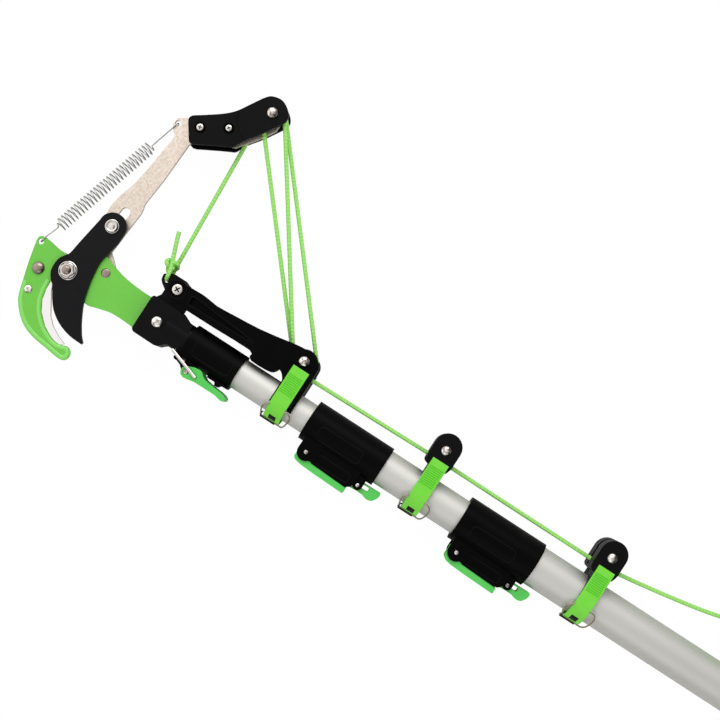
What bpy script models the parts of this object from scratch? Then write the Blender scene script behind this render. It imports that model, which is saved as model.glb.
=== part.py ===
"""A telescopic pole saw with a rope-driven pruner on its head, folded up short and lying on its back.

Sizes are in millimetres. Places are given in the head's frame: its origin lies on the pole's axis at the head
socket's front face, X runs down the pole to its butt, Y points to the rope's side and Z to the viewer. The
objects are placed in metres from the middle of the butt's flat end, which is the origin of the whole tool.
"""
import math

import bmesh
import bpy
from mathutils import Matrix, Vector

MM = 0.001
GAP = 0.3  # clearance between pieces that touch
ROUND = 22  # sides of the tubes and of what fits round them

# The pole's three sections, from the head to the butt
POLE_REACH = 1778.0
TUBE_WALL = 1.5
TUBE_SLIP = 0.75
TUBE_1_OUTER = 15.0
TUBE_2_OUTER = TUBE_1_OUTER + TUBE_SLIP + TUBE_WALL
TUBE_3_OUTER = TUBE_2_OUTER + TUBE_SLIP + TUBE_WALL
TUBE_1_START = 50.0
TUBE_1_LENGTH = 1630.0
TUBE_2_LENGTH = 1514.0
GRIP_WALL = 5.5
GRIP_LENGTH = 158.0
GRIP_END = 10.0

# The clamps between the sections
CLAMP_2_START = 183.5
CLAMP_3_START = 350.0
CLAMP_LENGTH = 81.0
CLAMP_WALL = 2.5
CLAMP_LIP = 2.5

# The rope and its sheaves
ROPE = 2.0
SHEAVE_TRACK = 10.6
SHEAVE_RIM = 12.2
SHEAVE_HALF = 3.25
SHEAVE_PIN = 3.0
ARM_SHEAVES = (0.8, 219.0)
BRACKET_SHEAVES = (151.0, 42.0)
GUIDE_2 = (305.0, 44.6)
GUIDE_3 = (485.5, 44.6)
ARM_FRONT_Z = 1.9
ARM_REAR_Z = -9.5
BRACKET_Z = 4.2
EYELET = (1.8, 37.0)
FLOOR = -25.0
COIL_CENTRE = (660.0, 108.0)
COIL_RADIUS = 38.5
COIL_TURNS = 18
COIL_LAYERS = 4
COIL_PITCH = 2 * ROPE + 0.5

# The plates of the head, back to front
PLATE_HALF = 1.5
BLADE_THICK = 3.5
ARM_THICK = 4.0
SAW_THICK = 1.5
BLADE_BACK = PLATE_HALF + GAP
BLADE_FRONT = BLADE_BACK + BLADE_THICK
ARM_FRONT = -PLATE_HALF - GAP
ARM_BACK = ARM_FRONT - ARM_THICK

# Where the head's pieces turn and are fixed
BLADE_PIVOT = (-79.1, -6.1)
ARM_PIVOT = (-49.6, 10.8)
LINK = (-66.9, 50.4)
SAW_BOLT = (-104.5, -19.1)
SAW_PIN = (-101.9, -40.7)
SPRING_EYE = (-116.1, 2.9)
SPRING_EAR = (-69.7, 164.6)
SOCKET_RIVET = (17.5, -0.9)
BRACKET_SCREW = (17.3, 34.3)
COVER_SCREWS = ((-47.9, 171.3), (-25.2, 185.1))

for old in list(bpy.data.objects):
    bpy.data.objects.remove(old)
PARTS = bpy.data.collections.new("pole_saw")
TOOLS = bpy.data.collections.new("cutters")
bpy.context.scene.collection.children.link(PARTS)
bpy.context.scene.collection.children.link(TOOLS)
TOOLS.hide_render = True


def finish(name, colour, metallic, roughness):
    """A material with one colour, all over."""
    material = bpy.data.materials.new(name)
    material.use_nodes = True
    shader = material.node_tree.nodes["Principled BSDF"]
    shader.inputs["Base Color"].default_value = (*colour, 1)
    shader.inputs["Metallic"].default_value = metallic
    shader.inputs["Roughness"].default_value = roughness
    return material


GREEN_PAINT = finish("green_paint", (0.13, 0.62, 0.05), 0.0, 0.35)
GREEN_PLASTIC = finish("green_plastic", (0.10, 0.70, 0.06), 0.0, 0.4)
GREEN_ROPE = finish("green_rope", (0.16, 0.80, 0.06), 0.0, 0.8)
BLACK_PLASTIC = finish("black_plastic", (0.015, 0.015, 0.017), 0.0, 0.45)
BLACK_STEEL = finish("black_steel", (0.02, 0.02, 0.022), 0.4, 0.35)
BRIGHT_STEEL = finish("bright_steel", (0.72, 0.71, 0.68), 1.0, 0.3)
ZINC = finish("zinc", (0.55, 0.54, 0.52), 1.0, 0.35)
ALUMINIUM = finish("aluminium", (0.62, 0.63, 0.65), 1.0, 0.4)


def place(name, data, origin):
    """An object of the tool, whose origin is a point of the head's frame."""
    obj = bpy.data.objects.new(name, data)
    PARTS.objects.link(obj)
    obj.location = ((origin[0] - POLE_REACH) * MM, origin[1] * MM, origin[2] * MM)
    return obj


def coat(obj, material):
    """Gives a finished piece its material and smooth round faces."""
    obj.data.materials.clear()
    obj.data.materials.append(material)
    if obj.type == "MESH":
        obj.data.shade_smooth()
        obj.data.set_sharp_from_angle(angle=math.radians(35))
    return obj


def arc(centre, radius, start, end, steps=8):
    """Points on an arc, from one angle in degrees to another."""
    turns = [math.radians(start + (end - start) * i / steps) for i in range(steps + 1)]
    return [(centre[0] + radius * math.cos(t), centre[1] + radius * math.sin(t)) for t in turns]


def circle(centre, radius, steps=10):
    return arc(centre, radius, 0, 360, steps)[:-1]


def rectangle(low, high):
    return [low, (high[0], low[1]), high, (low[0], high[1])]


def slot(start, end, radius, steps=6):
    """The outline of a slot with round ends."""
    heading = math.degrees(math.atan2(end[1] - start[1], end[0] - start[0]))
    return arc(end, radius, heading - 90, heading + 90, steps) + arc(start, radius, heading + 90,
                                                                     heading + 270, steps)


def rounded(corners, radius, steps=3):
    """A straight-sided outline with its corners rounded, a radius for all or one for each."""
    radii = radius if isinstance(radius, (list, tuple)) else [radius] * len(corners)
    outline = []
    for i, corner in enumerate(corners):
        here = Vector(corner)
        before = (Vector(corners[i - 1]) - here).normalized()
        after = (Vector(corners[(i + 1) % len(corners)]) - here).normalized()
        half = before.angle(after) / 2
        if radii[i] == 0 or half > math.radians(88):
            outline.append(tuple(here))
            continue
        back = radii[i] / math.tan(half)
        middle = here + (before + after).normalized() * radii[i] / math.sin(half)
        first = here + before * back - middle
        turn = (here + after * back - middle)
        sweep = math.atan2(first.cross(turn), first.dot(turn))
        start = math.degrees(math.atan2(first.y, first.x))
        outline += arc(middle, radii[i], start, start + math.degrees(sweep), steps)
    return outline


def flowing(points, steps=3, closed=True):
    """A smooth curve through points. A point marked with a third value is a sharp corner."""
    count = len(points)
    result = []
    for i in range(count if closed else count - 1):
        near = [i + k if closed else min(max(i + k, 0), count - 1) for k in (-1, 0, 1, 2)]
        before, here, there, after = (points[k % count] for k in near)
        here_flat, there_flat = Vector(here[:2]), Vector(there[:2])
        run = there_flat - here_flat
        leave = run if len(here) > 2 else (there_flat - Vector(before[:2])) / 2
        arrive = run if len(there) > 2 else (Vector(after[:2]) - here_flat) / 2
        straight = len(here) > 2 and len(there) > 2
        for step in range(1 if straight else steps):
            t = step / steps
            spot = (here_flat * (2 * t**3 - 3 * t**2 + 1) + leave * (t**3 - 2 * t**2 + t)
                    + there_flat * (3 * t**2 - 2 * t**3) + arrive * (t**3 - t**2))
            result.append(tuple(spot))
    if not closed:
        result.append(tuple(points[-1][:2]))
    return result


def swept(points, steps=4):
    """A smooth run through points in space."""
    run = [Vector(p) for p in points]
    result = []
    for i in range(len(run) - 1):
        leave = (run[i + 1] - run[max(i - 1, 0)]) / 2
        arrive = (run[min(i + 2, len(run) - 1)] - run[i]) / 2
        for step in range(steps):
            t = step / steps
            result.append(run[i] * (2 * t**3 - 3 * t**2 + 1) + leave * (t**3 - 2 * t**2 + t)
                          + run[i + 1] * (3 * t**2 - 2 * t**3) + arrive * (t**3 - t**2))
    result.append(run[-1])
    return result


def plate(name, outline, back, front, holes=(), pivot=(0, 0), material=None):
    """A flat piece: an outline with holes, filled between two heights and welded, so that it can be cut."""
    curve = bpy.data.curves.new(name, "CURVE")
    curve.dimensions = "2D"
    curve.fill_mode = "BOTH"
    curve.extrude = (front - back) / 2 * MM
    for line in (outline, *holes):
        spline = curve.splines.new("POLY")
        spline.points.add(len(line) - 1)
        for point, (x, y) in zip(spline.points, line):
            point.co = ((x - pivot[0]) * MM, (y - pivot[1]) * MM, 0, 1)
        spline.use_cyclic_u = True
    flat = place(name + "_outline", curve, (pivot[0], pivot[1], (front + back) / 2))
    bpy.context.view_layer.update()
    mesh = bpy.data.meshes.new_from_object(flat.evaluated_get(bpy.context.evaluated_depsgraph_get()))
    weld = bmesh.new()
    weld.from_mesh(mesh)
    bmesh.ops.remove_doubles(weld, verts=weld.verts, dist=1e-7)
    weld.to_mesh(mesh)
    weld.free()
    obj = bpy.data.objects.new(name, mesh)
    PARTS.objects.link(obj)
    obj.matrix_world = flat.matrix_world
    bpy.data.objects.remove(flat)
    return coat(obj, material) if material else obj


def block(name, low, high, material=None):
    """A box between two corners."""
    mesh = bpy.data.meshes.new(name)
    form = bmesh.new()
    size = [(b - a) * MM for a, b in zip(low, high)]
    bmesh.ops.create_cube(form, size=1, matrix=Matrix.Diagonal((*size, 1)))
    form.to_mesh(mesh)
    form.free()
    obj = place(name, mesh, [(a + b) / 2 for a, b in zip(low, high)])
    return coat(obj, material) if material else obj


def turned(name, profile, centre, along="Z", steps=16, material=None):
    """A round piece, spun about Z or X from (radius, height) points down its side. A ring's line closes."""
    mesh = bpy.data.meshes.new(name)
    form = bmesh.new()
    corners = [form.verts.new((radius * MM, 0, height * MM)) for radius, height in profile]
    for first, second in zip(corners, corners[1:]):
        form.edges.new((first, second))
    if profile[0][0] > 0:
        form.edges.new((corners[-1], corners[0]))
    form.to_mesh(mesh)
    form.free()
    obj = place(name, mesh, centre)
    if along == "X":
        obj.rotation_euler = (0, math.radians(90), 0)
    screw = obj.modifiers.new("spin", "SCREW")
    screw.steps = steps
    screw.render_steps = steps
    screw.use_merge_vertices = True
    screw.merge_threshold = 0.00001
    screw.use_smooth_shade = True
    return coat(obj, material) if material else obj


def rod(name, radius, centre, low, high, along="Z", steps=12, material=None):
    """A plain cylinder between two heights along Z or X."""
    spot = (0, centre[0], centre[1]) if along == "X" else (centre[0], centre[1], 0)
    return turned(name, [(0, high), (radius, high), (radius, low), (0, low)], spot, along, steps, material)


def wire(name, points, radius, detail=2, pivot=(0, 0, 0), material=None):
    """A round bar, wire or rope along points in space."""
    curve = bpy.data.curves.new(name, "CURVE")
    curve.dimensions = "3D"
    curve.bevel_depth = radius * MM
    curve.bevel_resolution = detail
    curve.use_fill_caps = True
    spline = curve.splines.new("POLY")
    spline.points.add(len(points) - 1)
    for point, spot in zip(spline.points, points):
        point.co = (*((a - b) * MM for a, b in zip(spot, pivot)), 1)
    return coat(place(name, curve, pivot), material)


def combine(obj, operation, tools, material=None):
    """Joins tools to a piece, or cuts them from it."""
    for tool in tools:
        PARTS.objects.unlink(tool)
        TOOLS.objects.link(tool)
        tool.hide_render = True
        tool.display_type = "WIRE"
        boolean = obj.modifiers.new(tool.name, "BOOLEAN")
        boolean.operation = operation
        boolean.object = tool
    return coat(obj, material) if material else obj


def headed_pin(name, centre, shank, back, front, head, height, tail, tail_height, dome=True, material=None,
               steps=10):
    """A rivet or bolt along Z: a shank between two heights, a head on its front and a tail on its back."""
    crown = [(0, front + height), (0.6 * head, front + (0.85 if dome else 1.0) * height),
             (head, front + (0.3 if dome else 0.7) * height)]
    profile = crown + [(head, front), (shank, front), (shank, back), (tail, back), (tail, back - tail_height),
                       (0, back - tail_height)]
    return turned(name, profile, (*centre, 0), steps=steps, material=material)


# The hook plate: cut steel sheet, painted green, with a tang that is riveted in the socket

HOOK_INNER = [(-42.7, -65.7), (-49.2, -68.8), (-57.3, -67.7), (-69.6, -61.8), (-80.3, -51.8), (-85.9, -41.7),
              (-88.1, -31.5), (-88.4, -23.1)]
TANG_HALF = 12.5
TANG_END = 40.0
RIVET_HOLE = SHEAVE_PIN + GAP
PLATE_OUTLINE = [
    (-120.2, 2.9), (-119.2, -2.5), (-115.7, -18.6), (-110.9, -35.7), (-106.6, -49.8), (-102.6, -56.8),
    (-94.8, -65.5), (-85.3, -72.0), (-73.2, -75.9), (-58.1, -77.8), (-44.4, -79.5), (-38.6, -78.4),
    (-36.1, -74.1), (-37.5, -68.6), *HOOK_INNER, (-85.0, -14.0), (-73.0, -14.5), (-51.1, -23.3),
    (-39.7, -21.2), (-26.0, -17.7), (-12.5, -17.3), (-0.4, -18.0), (0.4, -TANG_HALF),
    (TANG_END, -TANG_HALF), (TANG_END, TANG_HALF), (0.4, TANG_HALF), (-0.4, 15.3), (-15.8, 15.4),
    (-32.8, 17.2), (-45.6, 20.5), (-58.9, 24.6), (-66.0, 23.0), (-75.0, 12.0), (-92.5, 6.0), (-109.0, 8.0),
    (-115.5, 8.4), (-119.3, 6.6)]
BLADE_BOLT = 4.0
SAW_BOLT_SHANK = 3.0
PIN_SHANK = 2.2
PIN_BUTTON = 3.75
EYE_HOLE = 2.8

hook_plate = plate("hook_plate", PLATE_OUTLINE, -PLATE_HALF, PLATE_HALF, holes=[
    circle(SPRING_EYE, EYE_HOLE, 12), circle(BLADE_PIVOT, BLADE_BOLT + GAP), circle(ARM_PIVOT, RIVET_HOLE),
    circle(SAW_BOLT, SAW_BOLT_SHANK + GAP), circle(SOCKET_RIVET, RIVET_HOLE)])
SAW_BACK = ARM_FRONT - SAW_THICK
ARM_RIVET_HEAD = 4.2
ARM_RIVET_SEAT = 0.5
combine(hook_plate, "UNION", [
    rod("saw_pin_stud", PIN_SHANK, SAW_PIN, SAW_BACK - 1.0, PLATE_HALF + 0.5, steps=12),
    rod("saw_pin_button", PIN_BUTTON, SAW_PIN, PLATE_HALF - 0.5, PLATE_HALF + 1.3)])
combine(hook_plate, "DIFFERENCE", [
    rod("arm_rivet_seat", ARM_RIVET_HEAD + GAP, ARM_PIVOT, ARM_RIVET_SEAT, PLATE_HALF + 1.0)], GREEN_PAINT)

# The counter blade: a bright strip set along the hook's inner edge

COUNTER_EDGE = [(-86.2, -23.3), (-83.2, -30.5), (-76.6, -41.0), (-70.7, -50.6), (-63.4, -57.4),
                (-53.5, -62.8), (-46.2, -65.2)]


def shifted(points, distance):
    """A run of points moved sideways, to the right of its direction."""
    moved = []
    for i, point in enumerate(points):
        along = Vector(points[min(i + 1, len(points) - 1)]) - Vector(points[max(i - 1, 0)])
        along.normalize()
        moved.append((point[0] + along.y * distance, point[1] - along.x * distance))
    return moved


plate("counter_blade", shifted(HOOK_INNER[1:], GAP) + COUNTER_EDGE, -PLATE_HALF, PLATE_HALF,
      material=BRIGHT_STEEL)

# The saw blade: a curved strip behind the hook plate, with a row of teeth on its lower edge

SAW_LENGTH = 330.0
SAW_BEND = 520.0
SAW_ROOT = (-119.9, -10.9)
SAW_SLOPE = 5.5
SAW_WIDTH = 31.0
SAW_TIP_WIDTH = 15.0
TOOTH_PITCH = 7.0
TOOTH_DEPTH = 2.4


def along_saw(distance, depth):
    """A point on the saw: a distance along its bent back and a depth below it."""
    turn = math.radians(SAW_SLOPE) + distance / SAW_BEND
    start = math.radians(SAW_SLOPE)
    x = SAW_ROOT[0] - SAW_BEND * (math.sin(turn) - math.sin(start)) + depth * math.sin(turn)
    y = SAW_ROOT[1] - SAW_BEND * (math.cos(start) - math.cos(turn)) - depth * math.cos(turn)
    return x, y


saw_back = [along_saw(SAW_LENGTH * i / 14, 0) for i in range(15)]
tooth_count = round((SAW_LENGTH - 20) / TOOTH_PITCH)
saw_teeth = []
for tooth in range(tooth_count):
    reach = SAW_LENGTH - 3 - tooth * TOOTH_PITCH
    width = SAW_WIDTH - (SAW_WIDTH - SAW_TIP_WIDTH) * reach / SAW_LENGTH
    saw_teeth.append(along_saw(reach, width - TOOTH_DEPTH))
    saw_teeth.append(along_saw(reach - 0.35 * TOOTH_PITCH, width))
saw_heel = [along_saw(8, SAW_WIDTH + 1), (-109.0, -40.0), (-104.5, -46.0), (-96.5, -46.0), (-93.5, -42.0),
            (-93.5, -14.0), (-97.0, -9.5)]
plate("saw_blade", saw_back + saw_teeth + saw_heel, SAW_BACK, ARM_FRONT, material=BRIGHT_STEEL, holes=[
    circle(SAW_BOLT, SAW_BOLT_SHANK + GAP), circle(SAW_PIN, PIN_SHANK + GAP, 12)])
headed_pin("saw_bolt", SAW_BOLT, SAW_BOLT_SHANK, SAW_BACK - GAP, PLATE_HALF + GAP, 5.8, 3.6, 5.5, 4.0,
           material=ZINC)

# The cutting blade: black coated steel, turning on its bolt and ending in a lever with the link bolt

BLADE_BOSS = 13.2
LINK_SHANK = 2.75
BLADE_OUTLINE = [
    (-80.1, 49.4), (-81.9, 38.0), (-84.6, 22.0), (-86.5, 9.1), (-88.6, 5.4), (-92.9, -2.4), (-92.8, -14.0),
    (-88.3, -21.6), (-84.3, -25.4), (-77.0, -36.5), (-69.3, -45.2), (-58.6, -52.0), (-45.3, -56.1),
    (-31.6, -56.8, 1), (-31.5, -54.6, 1), (-36.5, -49.3), (-43.7, -38.1), (-50.4, -24.6), (-53.7, -14.0),
    (-56.9, 0.8), (-58.3, 15.9), (-56.9, 25.1), (-53.8, 39.9)]
blade_shape = flowing(BLADE_OUTLINE, 2, False) + arc(LINK, BLADE_BOSS, -5, 175, 10)
plate("cutting_blade", blade_shape, BLADE_BACK, BLADE_FRONT, pivot=BLADE_PIVOT, material=BLACK_STEEL, holes=[
    circle(BLADE_PIVOT, BLADE_BOLT + GAP), circle(LINK, LINK_SHANK + GAP)])

BOLT_HEAD = 6.6
NUT_FLATS = 7.5
NUT_HEIGHT = 6.0
blade_bolt_end = BLADE_FRONT + 9.0
turned("blade_bolt", [(0, blade_bolt_end), (BLADE_BOLT - 0.8, blade_bolt_end),
                      (BLADE_BOLT, blade_bolt_end - 0.8),
                      (BLADE_BOLT, ARM_FRONT), (BOLT_HEAD, ARM_FRONT), (BOLT_HEAD, ARM_FRONT - 3.5),
                      (0, ARM_FRONT - 3.5)], (*BLADE_PIVOT, 0), material=ZINC)
nut_back = BLADE_FRONT + GAP
plate("blade_nut", circle(BLADE_PIVOT, NUT_FLATS, 6), nut_back, nut_back + NUT_HEIGHT, material=ZINC,
      holes=[circle(BLADE_PIVOT, BLADE_BOLT + GAP)])
headed_pin("link_bolt", LINK, LINK_SHANK, ARM_BACK - GAP, BLADE_FRONT + GAP, 5.6, 4.0, 6.6, 2.5,
           material=ZINC)

# The lever arm: bright steel behind the plate, with the slot that the link bolt slides in

SLOT_RADIUS = 4.4
SLOT_LOW = (-67.8, 36.4)
SLOT_HIGH = (-65.8, 68.5)
ARM_FOOT = 11.0
ARM_OUTLINE = [
    (-56.4, 30.0), (-55.6, 40.5), (-54.6, 55.1), (-52.8, 75.2), (-53.6, 80.1), (-54.8, 84.3), (-52.0, 113.6),
    (-50.4, 153.2), (-47.6, 156.4), (-27.5, 168.2), (-20.0, 172.2), (-13.0, 174.0), (-4.5, 184.7),
    (4.6, 197.2), (10.8, 208.0)]
ARM_BACK_EDGE = [
    (-8.0, 228.0), (-14.0, 221.0), (-28.5, 201.0), (-37.5, 191.5), (-51.0, 181.5), (-61.0, 175.0),
    (-66.8, 172.9), (-72.4, 168.8), (-73.8, 162.0), (-71.0, 157.5), (-65.8, 153.0), (-70.0, 116.2),
    (-73.2, 95.4), (-76.1, 86.2), (-78.6, 78.0), (-80.6, 66.6), (-80.1, 54.4), (-78.0, 42.0), (-71.5, 28.0),
    (-62.5, 17.0)]
arm_shape = (ARM_OUTLINE + arc(ARM_SHEAVES, 10.6, -20, 125, 7) + ARM_BACK_EDGE
             + arc(ARM_PIVOT, ARM_FOOT, 165, 380, 10))
EAR_HOLE = 3.0
COVER_SHANK = 2.2
plate("lever_arm", arm_shape, ARM_BACK, ARM_FRONT, pivot=ARM_PIVOT, material=BRIGHT_STEEL, holes=[
    circle(ARM_PIVOT, RIVET_HOLE), slot(SLOT_LOW, SLOT_HIGH, SLOT_RADIUS), circle(SPRING_EAR, EAR_HOLE, 12),
    circle(ARM_SHEAVES, RIVET_HOLE), *(circle(screw, COVER_SHANK + GAP, 12) for screw in COVER_SCREWS)])
rivet_seat = ARM_RIVET_SEAT + GAP
headed_pin("arm_rivet", ARM_PIVOT, SHEAVE_PIN, ARM_BACK - GAP, rivet_seat, ARM_RIVET_HEAD,
           PLATE_HALF - rivet_seat, 6.5, 2.5, dome=False, material=ZINC)

# The arm's two black covers, each with a spacer block beside its sheave

COVER_OUTLINE = [
    (-62.7, 173.9), (-61.2, 176.4), (-50.4, 183.6), (-36.7, 193.9), (-27.8, 202.9), (-20.1, 215.3),
    (-12.3, 227.7), (-6.8, 232.2), (1.7, 233.7), (8.8, 230.8), (14.1, 225.9), (15.7, 220.8), (13.7, 215.1),
    (3.0, 197.6), (-8.7, 181.6), (-11.0, 173.7), (-16.7, 169.6), (-26.6, 165.3), (-46.8, 154.2),
    (-49.8, 154.9)]
SPACER_OUTLINE = [
    (-61.0, 173.6), (-50.4, 181.8), (-36.7, 192.0), (-27.8, 201.0), (-20.5, 212.0), (-16.0, 212.0),
    (-16.0, 170.5), (-26.6, 165.8), (-46.5, 154.8), (-49.6, 155.8)]
COVER_SHEET = 3.0
SHEAVE_SIDE = 0.5
cover_in_front = ARM_FRONT_Z + SHEAVE_HALF + SHEAVE_SIDE
cover_in_back = ARM_REAR_Z - SHEAVE_HALF - SHEAVE_SIDE
for side, inner, outer, face in (("front", cover_in_front, cover_in_front + COVER_SHEET, ARM_FRONT + GAP),
                                 ("rear", cover_in_back, cover_in_back - COVER_SHEET, ARM_BACK - GAP)):
    cover_holes = [circle(ARM_SHEAVES, RIVET_HOLE)]
    screw_holes = [circle(screw, COVER_SHANK + GAP, 12) for screw in COVER_SCREWS]
    cover = plate(f"pulley_cover_{side}", COVER_OUTLINE, min(inner, outer), max(inner, outer),
                  pivot=ARM_PIVOT, holes=cover_holes + screw_holes)
    overlap = 1.0 if side == "front" else -1.0
    spacer = plate(f"pulley_spacer_{side}", SPACER_OUTLINE, min(inner + overlap, face),
                   max(inner + overlap, face), pivot=ARM_PIVOT, holes=screw_holes)
    combine(cover, "UNION", [spacer], BLACK_PLASTIC)
cover_front_face = cover_in_front + COVER_SHEET + GAP
cover_rear_face = cover_in_back - COVER_SHEET - GAP
for spot, screw in zip(("inner", "outer"), COVER_SCREWS):
    headed_pin(f"cover_screw_{spot}", screw, COVER_SHANK, cover_rear_face, cover_front_face, 3.5, 1.6, 4.0,
               2.0, dome=False, material=ZINC, steps=8)
headed_pin("arm_sheave_pin", ARM_SHEAVES, SHEAVE_PIN, cover_rear_face, cover_front_face, 5.3, 3.6, 5.0, 2.5,
           material=ZINC)

# The six rope sheaves


def sheave(name, centre, height):
    """A grooved wheel for the rope, turning on its pin."""
    groove = ROPE + 0.4
    track = SHEAVE_TRACK - ROPE - GAP
    bore = SHEAVE_PIN + GAP
    turned(name, [(bore, SHEAVE_HALF), (SHEAVE_RIM, SHEAVE_HALF), (SHEAVE_RIM, groove), (track, groove),
                  (track, -groove), (SHEAVE_RIM, -groove), (SHEAVE_RIM, -SHEAVE_HALF), (bore, -SHEAVE_HALF)],
           (*centre, height), steps=12, material=BLACK_PLASTIC)


sheave("arm_sheave_front", ARM_SHEAVES, ARM_FRONT_Z)
sheave("arm_sheave_rear", ARM_SHEAVES, ARM_REAR_Z)
sheave("bracket_sheave_front", BRACKET_SHEAVES, BRACKET_Z)
sheave("bracket_sheave_rear", BRACKET_SHEAVES, -BRACKET_Z)
sheave("guide_2_sheave", GUIDE_2, 0)
sheave("guide_3_sheave", GUIDE_3, 0)

# The head socket: a black moulding round the plate's tang, with a plug for the first tube

SOCKET_HALF = 13.0
LUG_HALF = 5.7
SOCKET_OUTLINE = [(0.6, -18.5), (3.6, -20.3), (25.7, -20.5), (28.9, -19.6), (36.1, -13.0), (47.0, -12.5),
                  (47.0, 14.0), (40.0, 14.5), (31.1, 18.5), (0.6, 18.5)]
LUG_OUTLINE = [
    (3.1, 14.0), (3.1, 19.0), (5.4, 22.5), (5.5, 28.0), (0.3, 31.5), (-2.3, 34.4), (-3.2, 39.3),
    (-1.0, 42.0), (6.2, 45.0), (17.6, 45.1), (25.0, 42.0), (28.0, 36.0), (31.1, 22.6), (31.1, 14.0)]
PLUG_LENGTH = 50.0
BAIL_HOOK = (45.6, -16.4)
BAIL_GROOVE = (41.6, -12.9)
SCREW_SHANK = 2.5
EYELET_HOLE = 3.3
neck_end = TUBE_1_START - GAP
head_socket = plate("head_socket", rounded(SOCKET_OUTLINE, [3, 3, 2, 2, 2, 0, 0, 2, 3, 3]), -SOCKET_HALF,
                    SOCKET_HALF)
lug_holes = [circle(EYELET, EYELET_HOLE), circle(BRACKET_SCREW, SCREW_SHANK + GAP, 12)]
combine(head_socket, "UNION", [
    plate("socket_lug", LUG_OUTLINE, -LUG_HALF, LUG_HALF, holes=lug_holes),
    rod("socket_neck", TUBE_1_OUTER - 0.2, (0, 0), 25.0, neck_end, "X", ROUND),
    rod("socket_plug", TUBE_1_OUTER - TUBE_WALL - GAP, (0, 0), neck_end - 1, neck_end + PLUG_LENGTH, "X",
        ROUND),
    block("bail_hook", (BAIL_HOOK[0], BAIL_HOOK[1], -6), (neck_end, -10, 6))])
combine(head_socket, "DIFFERENCE", [
    block("tang_slot", (-5, -TANG_HALF - GAP, -PLATE_HALF - GAP),
          (TANG_END + GAP, TANG_HALF + GAP, PLATE_HALF + GAP)),
    block("bail_groove", (BAIL_GROOVE[0], -16.0, -9.0), (BAIL_HOOK[0] - GAP, BAIL_GROOVE[1], 9.0)),
    rod("rivet_hole", RIVET_HOLE, SOCKET_RIVET, -SOCKET_HALF - 1, SOCKET_HALF + 1)], BLACK_PLASTIC)
headed_pin("socket_rivet", SOCKET_RIVET, SHEAVE_PIN, -SOCKET_HALF - GAP, SOCKET_HALF + GAP, 5.5, 2.8, 5.5,
           2.8, material=ZINC)

# The tubes


def tube(name, outer, start, length):
    """A drawn aluminium section of the pole."""
    inner = outer - TUBE_WALL
    turned(name, [(inner, start + length), (outer, start + length), (outer, start), (inner, start)],
           (0, 0, 0), "X", ROUND, ALUMINIUM)


TUBE_2_START = CLAMP_2_START + CLAMP_LIP + GAP
TUBE_3_START = CLAMP_3_START + CLAMP_LIP + GAP
tube("tube_1", TUBE_1_OUTER, TUBE_1_START, TUBE_1_LENGTH)
tube("tube_2", TUBE_2_OUTER, TUBE_2_START, TUBE_2_LENGTH)
tube("tube_3", TUBE_3_OUTER, TUBE_3_START, POLE_REACH - GRIP_END - GAP - TUBE_3_START)
grip_outer = TUBE_3_OUTER + GRIP_WALL
grip_start = POLE_REACH - GRIP_LENGTH
turned("foot_grip", [
    (0, POLE_REACH), (grip_outer - 2, POLE_REACH), (grip_outer, POLE_REACH - 2), (grip_outer, grip_start + 2),
    (grip_outer - 2, grip_start), (TUBE_3_OUTER + GAP, grip_start),
    (TUBE_3_OUTER + GAP, POLE_REACH - GRIP_END),
    (0, POLE_REACH - GRIP_END)], (0, 0, 0), "X", ROUND, BLACK_PLASTIC)

# Clamp 1: a collar on the first tube, with an over-centre lever whose bail pulls the head on

COLLAR_1_END = 105.0
COLLAR_1_WALL = 2.7
LEVER_1_PIN = (64.1, -25.1)
LEVER_1_OUTLINE = [
    (65.2, -19.0), (61.3, -20.4), (59.5, -23.0), (59.4, -26.3), (61.3, -29.5), (64.7, -30.8), (69.3, -30.3),
    (74.9, -28.9), (86.9, -28.7), (98.9, -28.7), (103.0, -29.8), (106.5, -30.1), (108.4, -28.6),
    (108.2, -26.2),
    (105.5, -24.5), (100.4, -23.4), (94.1, -23.0), (87.0, -22.2), (82.8, -21.5), (79.7, -19.7), (77.3, -17.2),
    (74.4, -16.5), (69.3, -17.2)]
EAR_BACK = 6.0
EAR_FRONT = 9.2
LEVER_1_HALF = 12.5
BAIL_PIVOT = (74.3, -24.8)
BAIL_BAR = (43.6, -14.6)
BAIL_WIRE = 1.4
collar_outer = TUBE_1_OUTER + COLLAR_1_WALL
collar_start = TUBE_1_START + GAP
ear_shape = [(58.0, -13.0), (58.0, -20.5), (55.0, -19.1), (51.1, -17.6), *arc((48.6, -18.8), 2.1, 70, 260, 6),
             (51.1, -20.9), (55.4, -22.6), *arc(LEVER_1_PIN, 5.0, 190, 350, 8), (71.0, -13.0)]
CATCH = [(82.4, -12.0), (82.4, -19.0), (91.0, -18.9), (92.2, -21.6), (95.2, -21.8), (97.5, -18.8),
         (104.5, -18.5), (104.5, -12.0)]
CATCH_HALF = 7.0
clamp_1 = rod("clamp_1_collar", collar_outer, (0, 0), collar_start, COLLAR_1_END, "X", ROUND)
combine(clamp_1, "UNION", [
    plate("collar_ear_front", ear_shape, EAR_BACK, EAR_FRONT),
    plate("collar_ear_rear", ear_shape, -EAR_FRONT, -EAR_BACK),
    plate("collar_catch", CATCH, -CATCH_HALF, CATCH_HALF),
    rod("lever_1_pin", SCREW_SHANK, LEVER_1_PIN, -LEVER_1_HALF, LEVER_1_HALF)])
combine(clamp_1, "DIFFERENCE", [
    rod("collar_1_bore", TUBE_1_OUTER + GAP, (0, 0), collar_start - 1, COLLAR_1_END + 1, "X", ROUND)],
    BLACK_PLASTIC)
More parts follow.
